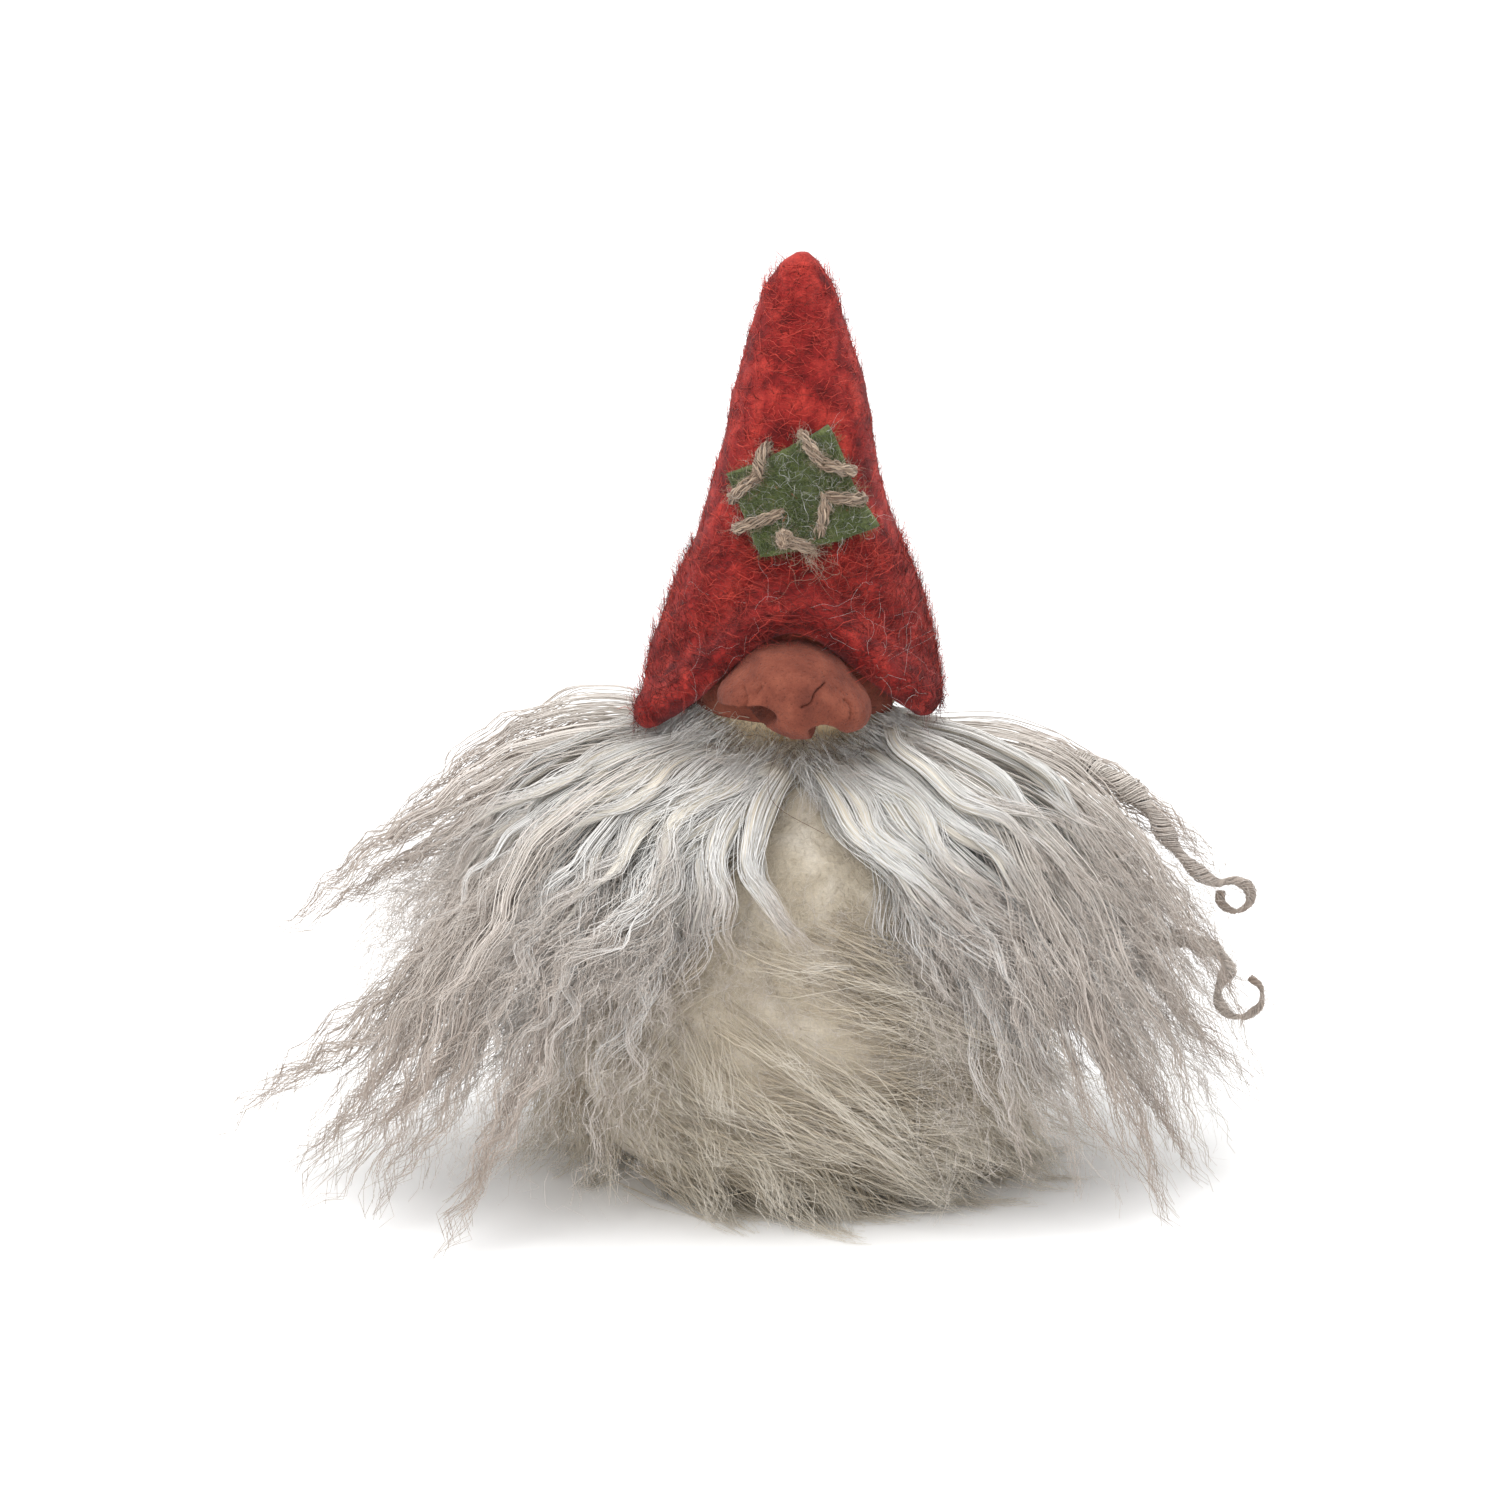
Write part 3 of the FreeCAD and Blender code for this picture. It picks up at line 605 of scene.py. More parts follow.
def lock_core(bundle, line, length, width, thick, swing, start, share, steps=30, sides=20):
    """The close-packed inner strands of a lock: one grooved flat rope down to a share of its length."""
    at = np.linspace(0, share, steps)[None]
    _, outward, side = (resample(v, at)[0] for v in surface_frame(line))
    slow = swing * 1.5 * np.sin(at * length / 27 * 2 * math.pi + start) * ease(0.05, 0.4, at)
    centre = resample(line, at)[0] + side * slow[0][:, None]
    shape = lerp(0.7, 1.0, ease(0, 0.25, at[0])) * (1 - 0.88 * ease(0.55, 1.0, at[0] / share))
    turn = np.arange(sides) * 2 * math.pi / sides - math.pi / 2
    place = np.stack([np.broadcast_to(at.T * length / 9, (steps, sides)),
                      np.broadcast_to(turn * 2.2, (steps, sides)), np.full((steps, sides), start)], -1)
    groove = np.where(np.arange(sides) % 2, 0.6, 1.0)
    ridge = groove * (1 + 0.25 * noise(place, 1.0, 71))
    wide = (ridge * np.cos(turn) * (width * 0.6 * shape)[:, None])[..., None]
    high = (ridge * np.sin(turn) * (thick * 0.5 * shape)[:, None] - 0.55)[..., None]
    points = centre[:, None] + side[:, None] * wide + outward[:, None] * high
    points[..., 2] = np.maximum(points[..., 2], FLOOR_GAP)
    u, v = np.meshgrid(np.linspace(0.2, 0.98, sides), np.linspace(0.0, 0.07, steps))
    uv = np.stack([u, v], -1).reshape(-1, 2)
    bundle.extend(points.reshape(-1, 3), grid_faces(steps, sides), end_caps(steps, sides), uv)


def frizz(bundle, points, ways, length, strands_thickness, tone, steps=9, curl=0.5):
    """Short curly fibres that start at points and head along ways."""
    count = len(points)
    t = np.linspace(0, 1, steps)[None, :, None]
    reach = (length * rng.uniform(0.5, 1.3, count))[:, None, None]
    paths = points[:, None] + ways[:, None] * reach * t
    for frequency, size in ((0.7, 0.30), (1.6, 0.12), (3.0, 0.05)):
        way = rng.normal(0, 1, (count, 1, 3))
        turn = rng.uniform(0, 2 * math.pi, (count, 1, 3))
        paths = paths + way * np.sin(t * frequency * 2 * math.pi + turn) * reach * size * curl * t**0.7
    paths[..., 2] = np.maximum(paths[..., 2], FLOOR_GAP)
    taper = lerp(1.0, 0.3, np.linspace(0, 1, steps))[None]
    radii = strands_thickness * rng.uniform(0.7, 1.3, (count, 1)) * taper
    bundle.add(paths, radii, tone)


# Groups of locks round the neck: name, and the bearings that they lie between.
GROUPS = [
    ("wool_right", 0, 30), ("wool_right_rear", 30, 60), ("wool_rear_right", 60, 90),
    ("wool_rear_left", 90, 120), ("wool_left_rear", 120, 150), ("wool_left", 150, 180),
    ("wool_left_front", 180, 210), ("beard_left", 210, 240), ("beard_centre_left", 240, 270),
    ("beard_centre_right", 270, 300), ("beard_right", 300, 330), ("wool_right_front", 330, 360),
]  # fmt: skip

# Tiers of locks: tip level, share of the spread, depth of the root, how many locks, strands
# in each, their thickness, and how much they wave, crimp and stray.
TIERS = [
    (42, 0.92, 0.0, 9, 36, 0.062, 1.0, 0.25, 0.35),
    (27, 1.0, 0.1, 8, 20, 0.08, 1.2, 1.0, 0.7),
    (9, 1.03, 0.3, 10, 19, 0.085, 1.1, 1.2, 0.9),
    (14, 0.86, 0.75, 4, 14, 0.1, 1.0, 1.2, 1.2),
]

# How much of its length a lock is close-packed for, by its tier's tip level.
CORE_SHARES = {42: 0.8, 27: 0.5}

# Half of the parting under the nose, in degrees of bearing, where no lock is rooted.
PARTING = 15


def sweep(root):
    """Where a lock rooted at a bearing ends: the front ones part in the middle and swing aside."""
    away = (np.mod(root - 270 + 180, 360)) - 180
    push = 20 * np.exp(-((away / 45) ** 2)) * np.sign(away if away else 1)
    return root + push


def root_range(low, high):
    """The bearings that a group's locks are rooted between."""
    if low == 240:
        return low, 270 - PARTING
    if low == 270:
        return 270 + PARTING, high
    return low, high


def wool_group(name, low, high):
    bundle = Bundle()
    front = 240 <= low < 300
    first, last = root_range(low, high)
    for level, share, depth, count, strands, thickness, wave, curl, loose in TIERS:
        for i in range(count):
            root = lerp(first, last, (i + rng.uniform(0.1, 0.9)) / count)
            tip = sweep(root) + rng.normal(0, 4.0)
            reach = spread_at(tip) * share * rng.uniform(0.86, 1.0)
            tip_level = max(level + rng.normal(0, 5), 0.6)
            if front:
                tip_level = max(tip_level, 33 + rng.normal(0, 4))
                reach *= rng.uniform(0.8, 1.0)
            line = spine(root, tip, reach, tip_level, depth)
            smooth = strands > 30
            wave_phase = root * 0.09 + rng.normal(0, 0.35)
            lock(bundle, line, strands, 3.6, 1.5, thickness, 26 if smooth else 30, wave, curl,
                 tone=rng.uniform(0.7, 0.95), swing=1.7 if smooth else 1.2, loose=loose,
                 phase=wave_phase, core=CORE_SHARES.get(level, 0.0))  # fmt: skip
    undercoat(bundle, first, last, front)
    return bundle.piece(name + "_locks", "figure", WOOL, "curly_wool", [name])


def undercoat(bundle, first, last, front):
    """The dense short wool under the locks: a closed pad that follows their shoulder."""
    columns, rows = 30, 34
    top, bottom = [], []
    for root in np.linspace(first, last, columns):
        tip = sweep(root)
        reach = spread_at(tip) * 0.68
        level = 44 if front else 37
        line = smooth_line(spine(root, tip, reach, level, 0.06), rows)
        inward = unit(np.array([0, 0, 20.0]) - line)
        lumps = 0.7 * noise(line, 4.5, 41)[:, None]
        top.append(line + inward * (0.9 + lumps + 2.5 * ease(0.7, 1.0, np.linspace(0, 1, rows))[:, None]))
        bottom.append(line + inward * (6.5 + lumps * 0.5))
    count = columns * rows
    front_face = grid_faces(columns, rows, closed=False)
    quads = closed_slab(front_face, columns, rows, count)
    points = np.concatenate([np.concatenate(top), np.concatenate(bottom)])
    u = np.repeat(np.linspace(0.3, 0.98, columns), rows)
    v = np.tile(np.linspace(0.0, 0.08, rows), columns)
    bundle.extend(points, quads, np.empty((0, 3), int), np.tile(np.stack([u, v], 1), (2, 1)))


def closed_slab(front, rows, columns, count):
    """The faces of a closed slab: a grid, the same grid behind it, and the rim between."""
    rim = np.concatenate([
        np.arange(columns),
        np.arange(1, rows) * columns + columns - 1,
        (rows - 1) * columns + np.arange(columns - 2, -1, -1),
        np.arange(rows - 2, 0, -1) * columns,
    ])  # fmt: skip
    following = np.roll(rim, -1)
    sides = np.stack([rim, rim + count, following + count, following], 1)
    return np.concatenate([front, front[:, ::-1] + count, sides])


# Long locks that sweep down both sides of the parting, root first, in S-curves.
SWEEPING_LOCKS = [
    [(-2, -19, 68), (-6.5, -27, 62), (-7, -33, 56), (-3, -37, 50), (1, -38, 44.5)],
    [(-2.5, -19, 68), (-10, -25, 63.5), (-13, -31, 58.5), (-12, -36, 53), (-13, -38, 48), (-12, -38, 42)],
    [(-3, -18, 68.5), (-12, -22, 64.5), (-18.5, -28, 58.5), (-20.5, -33, 52.5), (-18.5, -35, 47.5),
     (-21, -37, 41)],
    [(-8, -16, 68.5), (-18.5, -19, 63.5), (-25, -24, 57.5), (-25, -30, 51.5), (-28.5, -34, 43.5)],
    [(-12, -12, 70), (-22, -15, 66), (-29.5, -19, 60), (-31.5, -25, 52), (-37, -30, 39)],
    [(-15, -8, 71.5), (-26, -10, 68), (-37, -13, 61), (-41, -18, 52), (-47, -22, 41)],
    [(-16, -4, 72), (-29, -4, 69), (-42, -6, 62), (-49, -9, 53), (-54, -12, 45)],
    [(4.5, -19, 67), (8.5, -26, 62.5), (10.5, -31, 58.5), (15.5, -33, 54.5), (20, -35, 49.5),
     (27.5, -35, 43.5)],
    [(7.5, -17, 68.5), (13, -22, 64.5), (16.5, -26, 60), (23, -29, 55), (28.5, -31, 48), (32, -32, 42)],
    [(11, -14, 70), (16, -18, 67), (21, -22, 62), (29, -25, 57), (33, -28, 50), (39, -28, 44)],
    [(15, -12, 72), (16, -16, 69), (20, -19, 65.5), (24.5, -22, 60.5), (32, -24, 57.5), (38, -27, 50)],
    [(16, -9, 71.5), (24, -12, 68), (31, -15, 63), (36, -19, 55), (44, -21, 49)],
    [(17, -5, 72), (28, -6, 68.5), (38, -8, 62), (43, -12, 53), (51, -13, 46)],
]  # fmt: skip

# Tufts that reach furthest from the wool: a middle line from the neck to a clumped point.
TUFTS = [
    [(-16, -3, 69.3), (-38, -3, 66), (-58, -2, 53), (-78.5, 0, 37.5)],
    [(-16, -2, 69.3), (-36, 1, 66.5), (-54, 4, 54), (-71, 4, 43)],
    [(-16, -4, 69), (-40, -8, 57), (-62, -8, 29), (-86.5, -4, 9.5)],
    [(-16, -5, 69), (-40, -11, 54), (-60, -14, 22), (-77, -13, 4.5)],
    [(-12, -11, 68.5), (-28, -27, 58), (-42, -42, 29), (-53, -55, 2)],
    [(-15, -7, 69), (-37, -16, 57), (-57, -25, 27), (-73, -30, 3)],
    [(-13, -9, 69), (-34, -22, 57), (-50, -33, 28), (-63, -38, 3)],
    [(-16, 3, 69), (-30, 8, 67), (-42, 12, 62.5), (-51, 15.5, 57.5)],
    [(-16, 2, 69.3), (-33, 6, 68), (-48, 9, 61), (-61.5, 10, 50.5)],
    [(13, -10, 68.5), (30, -22, 59), (44, -34, 28), (55.5, -41, 2.5)],
    [(14, -8, 68.6), (34, -18, 59), (50, -26, 30), (62, -30, 8)],
    [(16, -3, 69), (40, -5, 61), (57, -8, 36), (70.5, -10, 16)],
    [(16, 0, 69.2), (40, 0, 63.5), (57, 0, 45), (69, 0, 29)],
    [(16, 4, 69.3), (38, 6, 66.5), (53, 6, 57.5), (64, 5, 47.5)],
]


def make_sweeping_locks():
    for name, side in (("sweeping_locks_left", -1), ("sweeping_locks_right", 1)):
        bundle = Bundle()
        for line in SWEEPING_LOCKS:
            line = np.array(line, float)
            if line[0, 0] * side < 0:
                continue
            share = np.linspace(0, 1, len(line))[:, None]
            lifted = line + unit(line - np.array([0, 0, 30.0])) * 1.8 * ease(0, 0.5, share)
            for _ in range(3):
                moved = lifted + rng.normal(0, 1.0, 3) * lerp(0.7, 1.7, share)
                lock(bundle, moved, 32, 2.2, 0.9, 0.06, steps=28, wave=0.4, curl=0.2, swing=0.4,
                     loose=0.25, tone=0.95, tone_spread=0.12, ends=(0.8, 1.0), core=0.85)  # fmt: skip
        bundle.piece(name, "figure", WOOL, "curly_wool")


def make_tufts():
    for name, side in (("reaching_tufts_left", -1), ("reaching_tufts_right", 1)):
        bundle = Bundle()
        for line in TUFTS:
            line = np.array(line, float)
            if line[-1, 0] * side < 0:
                continue
            line[-1] += (line[-1] - line[-2]) * 0.16
            line[-1, 2] = max(line[-1, 2], 1.0)
            for _ in range(5):
                moved = line + rng.normal(0, 1.0, 3) * np.array([[0.4], [2.4], [3.8], [1.0]])
                moved[:, 2] = np.maximum(moved[:, 2], 0.9)
                lock(bundle, moved, 15, 3.2, 2.0, 0.1, 30, 1.0, 1.4, loose=0.6,
                     tone=rng.uniform(0.2, 0.7), tip_width=0.3, ends=(0.8, 1.0))  # fmt: skip
        bundle.piece(name, "figure", TUFT, "curly_wool")


def make_crimped_locks():
    """Thin bright crimped locks that lie over the frizz at both sides."""
    bundle = Bundle()
    for i in range(30):
        root = rng.uniform(178, 248) if i % 2 else rng.uniform(292, 358)
        tip = sweep(root) + rng.normal(0, 9)
        reach = spread_at(tip) * rng.uniform(0.72, 0.92) + 2
        line = spine(root, tip, reach, rng.uniform(10, 34), 0.05)
        outward = unit(line - np.array([0, 0, 20.0]))
        line = line + outward * (4.2 * ease(0.1, 0.5, np.linspace(0, 1, len(line))))[:, None]
        lock(bundle, line[12:], 17, 1.2, 0.8, 0.085, steps=36, wave=1.7, curl=0.9, swing=0.6,
             loose=0.25, tone=0.98, tone_spread=0.06, fingers=2, tip_width=0.5)  # fmt: skip
    bundle.piece("crimped_over_locks", "figure", WOOL, "curly_wool")


def make_frizz():
    """Clouds of fine curly fibres that stand out of the lower and outer wool."""
    for name, low, high, count in (
        ("frizz_left", 165, 245, 3200),
        ("frizz_right", 295, 375, 3200),
        ("frizz_rear", 15, 165, 2600),
    ):
        bundle = Bundle()
        root = rng.uniform(low, high, count)
        share = rng.uniform(0.56, 0.97, count)
        level = rng.uniform(4, 44, count)
        starts, ways = [], []
        for bearing, part, height in zip(root, share, level):
            line = spine(bearing, bearing, spread_at(bearing) * 0.99, height, 0.1, 14)
            index = min(int(part * 13), 12)
            starts.append(line[index])
            ways.append(line[index + 1] - line[index])
        ways = unit(unit(np.array(ways)) + rng.normal(0, 0.45, (count, 3)))
        frizz(bundle, np.array(starts), ways, 8.5, 0.036, rng.uniform(0.4, 1, count), 7, 0.95)
        bundle.piece(name, "figure", FRIZZ, "curly_wool")


def make_wool():
    for name, low, high in GROUPS:
        wool_group(name, low, high)
    make_sweeping_locks()
    make_tufts()
    make_crimped_locks()
    make_frizz()


# ---------------------------------------------------------------- ringlets


def ringlet(name, node, points, width, strands=70):
    """A thin ringlet: strands twisted round a line that ends in a small open loop."""
    steps = 110
    line = smooth_line(points, steps)
    along, outward, side = surface_frame(line)
    t = np.linspace(0, 1, steps)
    bundle = Bundle()
    angle = rng.uniform(0, 2 * math.pi, (strands, 1))
    far = np.sqrt(rng.uniform(0, 1, (strands, 1)))
    turns = angle + t[None] * 11 * 2 * math.pi
    girth = width * lerp(1.0, 0.32, ease(0.1, 1.0, t))[None] * far * (1 + 0.35 * np.sin(t * 40))[None]
    paths = line[None] + side[None] * (np.cos(turns) * girth)[..., None]
    paths = paths + outward[None] * (np.sin(turns) * girth)[..., None]
    radii = 0.11 * rng.uniform(0.7, 1.3, (strands, 1)) * lerp(1.0, 0.6, t)[None]
    bundle.add(paths, radii, rng.uniform(0.15, 0.5, strands))
    hairs = 320
    spots = rng.integers(4, steps - 8, hairs)
    ways = unit(rng.normal(size=(hairs, 3)) + along[spots] * 0.8)
    frizz(bundle, line[spots], ways, 3.4, 0.035, rng.uniform(0.3, 0.8, hairs), 7, 1.2)
    return bundle.piece(name, "figure", TUFT, "curly_wool", [node])


def make_ringlets():
    upper = [
        (34, 6, 63.5), (39, 6, 62.6), (43.6, 6, 61.8), (48.0, 6, 60.9), (51.9, 5.5, 58.4), (55.7, 5, 55.3),
        (57.6, 4.8, 52.1), (60.2, 4.5, 48.2), (63.3, 4.2, 45.0), (66.4, 4, 43.2), (69.0, 4.0, 43.6),
        (71.4, 4.0, 42.4), (71.6, 4.2, 39.9), (69.5, 4.4, 38.4), (67.2, 4.7, 39.6), (67.0, 5.0, 41.6),
    ]  # fmt: skip
    lower = [
        (52, 5, 36.0), (57, 4, 34.6), (62, 3, 33.8), (66.4, 2, 32.6), (68.2, 1, 30.0), (66.6, 0.5, 26.6),
        (67.6, 0, 23.4), (70.6, 0, 22.4), (73.2, 0, 24.2), (73.4, 0, 27.0), (71.6, 0, 28.9),
    ]  # fmt: skip
    ringlet("ringlet_upper_curl", "ringlet_upper", upper, 2.0, 64)
    ringlet("ringlet_lower_curl", "ringlet_lower", lower, 1.5, 48)


# ---------------------------------------------------------------- body


def revolve(name, profile, columns=160, lumps=0.0, lump_size=8.0, seed=1, rows=72):
    """A closed lumpy surface turned from (radius, level) points about the vertical axis."""
    profile = np.asarray(profile, float)
    fine = smooth_line(np.c_[profile, np.zeros(len(profile))], rows)[:, :2]
    turn = np.arange(columns) * 2 * math.pi / columns
    radius, level = np.maximum(fine[:, :1], 0.02), fine[:, 1:]
    points = np.stack(
        [radius * np.cos(turn), radius * np.sin(turn), level + 0 * turn], axis=-1
    ).reshape(-1, 3)
    if lumps:
        away = points - np.array([0, 0, fine[:, 1].mean()])
        points = points + unit(away) * (noise(points, lump_size, seed) * lumps)[:, None]
    points[:, 2] = np.maximum(points[:, 2], 0)
    quads = grid_faces(rows, columns)
    first = np.stack([np.zeros(columns - 2, int), np.arange(2, columns), np.arange(1, columns - 1)], 1)
    last = np.stack([np.zeros(columns - 2, int), np.arange(1, columns - 1), np.arange(2, columns)], 1)
    tris = np.vstack([first, last + (rows - 1) * columns])
    return make_mesh(name, points, quads, tris)


EGG_PROFILE = [
    (0, 0.4), (22, 0.4), (31, 5), (36.5, 16), (37.5, 28), (35.5, 40), (30.5, 51), (26, 57.5),
    (22, 61.5), (18.8, 64.2), (14, 65.6), (0, 65.8),
]  # fmt: skip
# The felted egg is this share of the outline's radius, and the fibres start on it.
EGG_SHARE = 0.96


def make_body():
    core = [(max(r - 7.5, 0), max(z, 2.4) * 0.9) for r, z in EGG_PROFILE]
    finish_piece(revolve("body_core_felt", core, 96, 0.3), "figure", PALE_FELT,
                           ["body_core"])
    egg = [(r * EGG_SHARE, z) for r, z in EGG_PROFILE]
    fleece = revolve("body_fleece_felt", egg, 180, 0.9, 9.0, rows=120)
    finish_piece(fleece, "figure", PALE_FELT, ["body_fleece"])
    band = [(13, 60.5), (16.8, 60.6), (17.8, 63), (17.2, 66), (15.4, 69), (13.8, 70.6), (12.6, 69.8),
            (13, 60.5)]  # fmt: skip
    finish_piece(ring("neck_band_felt", band), "figure", PALE_FELT, ["neck_band"])
    head = [(0, 60.2), (11.5, 60.2), (12.2, 66), (13.5, 71), (17.4, 77.5), (18.0, 84), (16.4, 90.5),
            (12, 96), (6, 99.2), (0, 99.9)]  # fmt: skip
    finish_piece(revolve("head_felt", head, 128, 0.18, 6.0), "figure", SKIN_FELT,
                           ["head_core"])
    sole = [(0, 0.0), (19.4, 0.0), (20.0, 0.5), (20.0, 1.5), (19.4, 2.0), (0, 2.0)]
    finish_piece(revolve("sole_felt_disc", sole, 96), "figure", SOLE_FELT, ["sole_disc"])
    bag = [(0, 2.2), (13, 2.2), (15, 4.5), (15.4, 8), (14, 11), (10, 12.6), (0, 12.8)]
    finish_piece(revolve("ballast_cotton_bag", bag, 96, 0.35, 3.5), "figure", cloth_material(),
                           ["ballast_bag"])
    wood = wood_material()
    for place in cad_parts["face_peg"].material_slots:
        place.material = wood


def ring(name, profile, columns=128):
    """A closed ring turned from a closed (radius, level) outline."""
    fine = smooth_line([(r, z, 0) for r, z in profile], 48)[:-1, :2]
    turn = np.arange(columns) * 2 * math.pi / columns
    points = np.stack(
        [fine[:, :1] * np.cos(turn), fine[:, :1] * np.sin(turn), fine[:, 1:] + 0 * turn], axis=-1
    ).reshape(-1, 3)
    quads = grid_faces(len(fine) + 1, columns) % len(points)
    return make_mesh(name, points, quads)


def egg_points(count, low, high, bearing_low=0, bearing_high=360):
    """Random points on the fleece, with their outward directions."""
    profile = smooth_line([(r, z, 0) for r, z in EGG_PROFILE], 200)
    level = rng.uniform(low, high, count)
    upper = profile[:, 1] > 0.45
    radius = np.interp(level, profile[upper][:, 1], profile[upper][:, 0]) * EGG_SHARE
    bearing = rng.uniform(bearing_low, bearing_high, count)
    points = polar(bearing, radius, level)
    outward = unit(points - np.array([0, 0, 28.0]))
    return points, outward, bearing


def wisps(bundle, centres, ways, per, length, spread, thickness, tones, steps=9):
    """Soft wisps of combed fibre: each starts broad, bends one way and gathers to its end."""
    count = len(centres)
    t = np.linspace(0, 1, steps)[None, :, None]
    owner = np.repeat(np.arange(count), per)
    many = len(owner)
    bend = unit(rng.normal(size=(count, 3))) * 0.3
    reach = (length * rng.uniform(0.6, 1.3, count))[owner][:, None, None]
    reach = reach * rng.uniform(0.75, 1.1, (many, 1, 1))
    offset = rng.normal(0, spread, (many, 1, 3)) * (1 - 0.7 * t)
    paths = centres[owner][:, None] + offset + ways[owner][:, None] * reach * t
    paths = paths + bend[owner][:, None] * reach * t**2
    for frequency, size in ((0.8, 0.07), (2.0, 0.03)):
        turn = rng.uniform(0, 2 * math.pi, (many, 1, 3))
        way = rng.normal(0, 1, (many, 1, 3))
        paths = paths + way * np.sin(t * frequency * 2 * math.pi + turn) * reach * size * t
    paths[..., 2] = np.maximum(paths[..., 2], FLOOR_GAP)
    taper = lerp(1.0, 0.35, np.linspace(0, 1, steps))[None]
    radii = thickness * rng.uniform(0.7, 1.3, (many, 1)) * taper
    bundle.add(paths, radii, np.clip(tones[owner] + rng.normal(0, 0.12, many), 0, 1))


# The neck under the brim, where the collar's wool is rooted: radius by level.
NECK_LEVELS = (63, 66, 69.5, 71, 75)
NECK_RADII = (17.9, 17.3, 15.2, 14, 16.2)

# The fleece's fibres: name, the bearings and the levels they grow from, and how many wisps.
FLEECE_PARTS = [
    ("fleece_fibres_front", (190, 350), (18, 46), 115),
    ("fleece_fibres_front_low", (190, 350), (0.8, 20), 115),
    ("fleece_fibres_rear", (-10, 190), (0.8, 46), 120),
]


def make_fleece_fibres():
    """The loose carded fibres of the lower body, combed round and down in broad sweeps."""
    for name, bearings, levels, count in FLEECE_PARTS:
        bundle = Bundle()
        points, outward, bearing = egg_points(count, *levels, *bearings)
        _, round_way = round_about(bearing)
        comb = noise(points, 22, 3)[:, None]
        down = np.array([0, 0, -1.0])
        ways = unit(outward * 0.3 + round_way * comb * 2.4 + down * 0.45 + rng.normal(0, 0.12, (count, 3)))
        wisps(bundle, points, ways, 26, 17.0, 2.3, 0.07, rng.uniform(0.5, 0.9, count), 8)
        bundle.piece(name, "figure", FLEECE, "fleece")


def make_veil():
    """Fine loose hairs over the front of the fleece, and brownish frizz under the nose."""
    veil = Bundle()
    count = 1500
    points, outward, _ = egg_points(count, 16, 50, 215, 325)
    ways = unit(outward * 0.3 + rng.normal(0, 0.7, (count, 3)) + np.array([0, 0, -0.5]))
    frizz(veil, points + outward * 1.2, ways, 9.0, 0.03, rng.uniform(0.5, 1.0, count), 8, 1.1)
    veil.piece("front_veil_hairs", "figure", FRIZZ, "fleece")

    chin = Bundle()
    count = 260
    bearing = rng.uniform(222, 318, count)
    starts = polar(bearing, rng.uniform(15.0, 17.6, count), rng.uniform(65, 73, count))
    ways = unit(polar(bearing, 0.5, 0) + rng.normal(0, 0.7, (count, 3)))
    frizz(chin, starts, ways, 6.5, 0.03, rng.uniform(0, 1, count), 9, 1.0)
    stray = smooth_line([(-2.2, -22, 72.8), (-4.2, -25.5, 68.4), (-3.0, -29, 64.8), (4.2, -33, 61.5)], 24)
    chin.add(stray[None], np.full((1, 24), 0.05), np.zeros(1))
    chin.piece("chin_brown_hairs", "figure", BROWN_HAIR, "curly_wool")


def make_collar():
    """Short combed wool from under the brim, which covers the neck and the roots of the locks."""
    bundle = Bundle()
    count = 120
    bearing = rng.uniform(198, 342, count)
    away = bearing - 270
    level = lerp(70.0, 75.0, ease(14, 58, np.abs(away))) - rng.uniform(0, 4.5, count)
    radius = np.interp(level, NECK_LEVELS, NECK_RADII)
    outward, round_way = round_about(bearing)
    aside = round_way * np.sign(away)[:, None]
    ways = outward + aside * 0.55 + np.array([0, 0, -0.6])
    ways = unit(ways + rng.normal(0, 0.14, (count, 3)))
    wisps(bundle, polar(bearing, radius, level), ways, 24, 14.0, 1.3, 0.05, rng.uniform(0.4, 0.95, count), 9)
    bundle.piece("collar_wool", "figure", WOOL, "curly_wool")


def make_front_felt():
    """The fine hairs on the body's front between the parted locks, and round the neck."""
    bundle = Bundle()
    front, neck = 2800, 900
    points, outward, _ = egg_points(front, 36, 65, 225, 315)
    ways = unit(outward * 0.05 + rng.normal(0, 0.6, (front, 3)) + np.array([0, 0, -0.6]))
    ways = unit(ways - outward * ((ways * outward).sum(1, keepdims=True) - 0.12))
    frizz(bundle, points, ways, 5.0, 0.04, rng.uniform(0.5, 1.0, front), 6, 0.7)
    bearing = rng.uniform(212, 328, neck)
    level = rng.uniform(63, 75, neck)
    starts = polar(bearing, np.interp(level, NECK_LEVELS, NECK_RADII), level)
    ways = unit(rng.normal(0, 0.8, (neck, 3)) + polar(bearing, 0.4, 0) + np.array([0, 0, -0.9]))
    frizz(bundle, starts, ways, 5.5, 0.045, rng.uniform(0.35, 0.95, neck), 6, 0.9)
    bundle.piece("front_felt_hairs", "figure", FLEECE, "body_felt")


# ---------------------------------------------------------------- clay face

NOSE_TILT = math.radians(8)
NOSE_CENTRE = np.array([0.2, -20.5, 80.6])

# Lumps of clay: centre and radii in the nose's own tilted frame, x right, y back, z up.
NOSE_LUMPS = [
    ((-0.6, 1.2, 1.3), (9.0, 9.0, 6.2)),
    ((0.4, -3.0, -0.9), (6.2, 6.0, 4.8)),
    ((-7.4, -0.2, -1.9), (4.7, 6.8, 3.6)),
    ((7.0, -0.2, -1.3), (4.8, 6.6, 4.0)),
    ((0.9, -2.8, -4.3), (3.8, 5.0, 1.8)),
]
NOSTRILS = [
    ((-5.3, -4.6, -2.9), (2.7, 7.6, 1.6)),
    ((4.3, -4.8, -4.0), (2.3, 7.2, 1.15)),
]


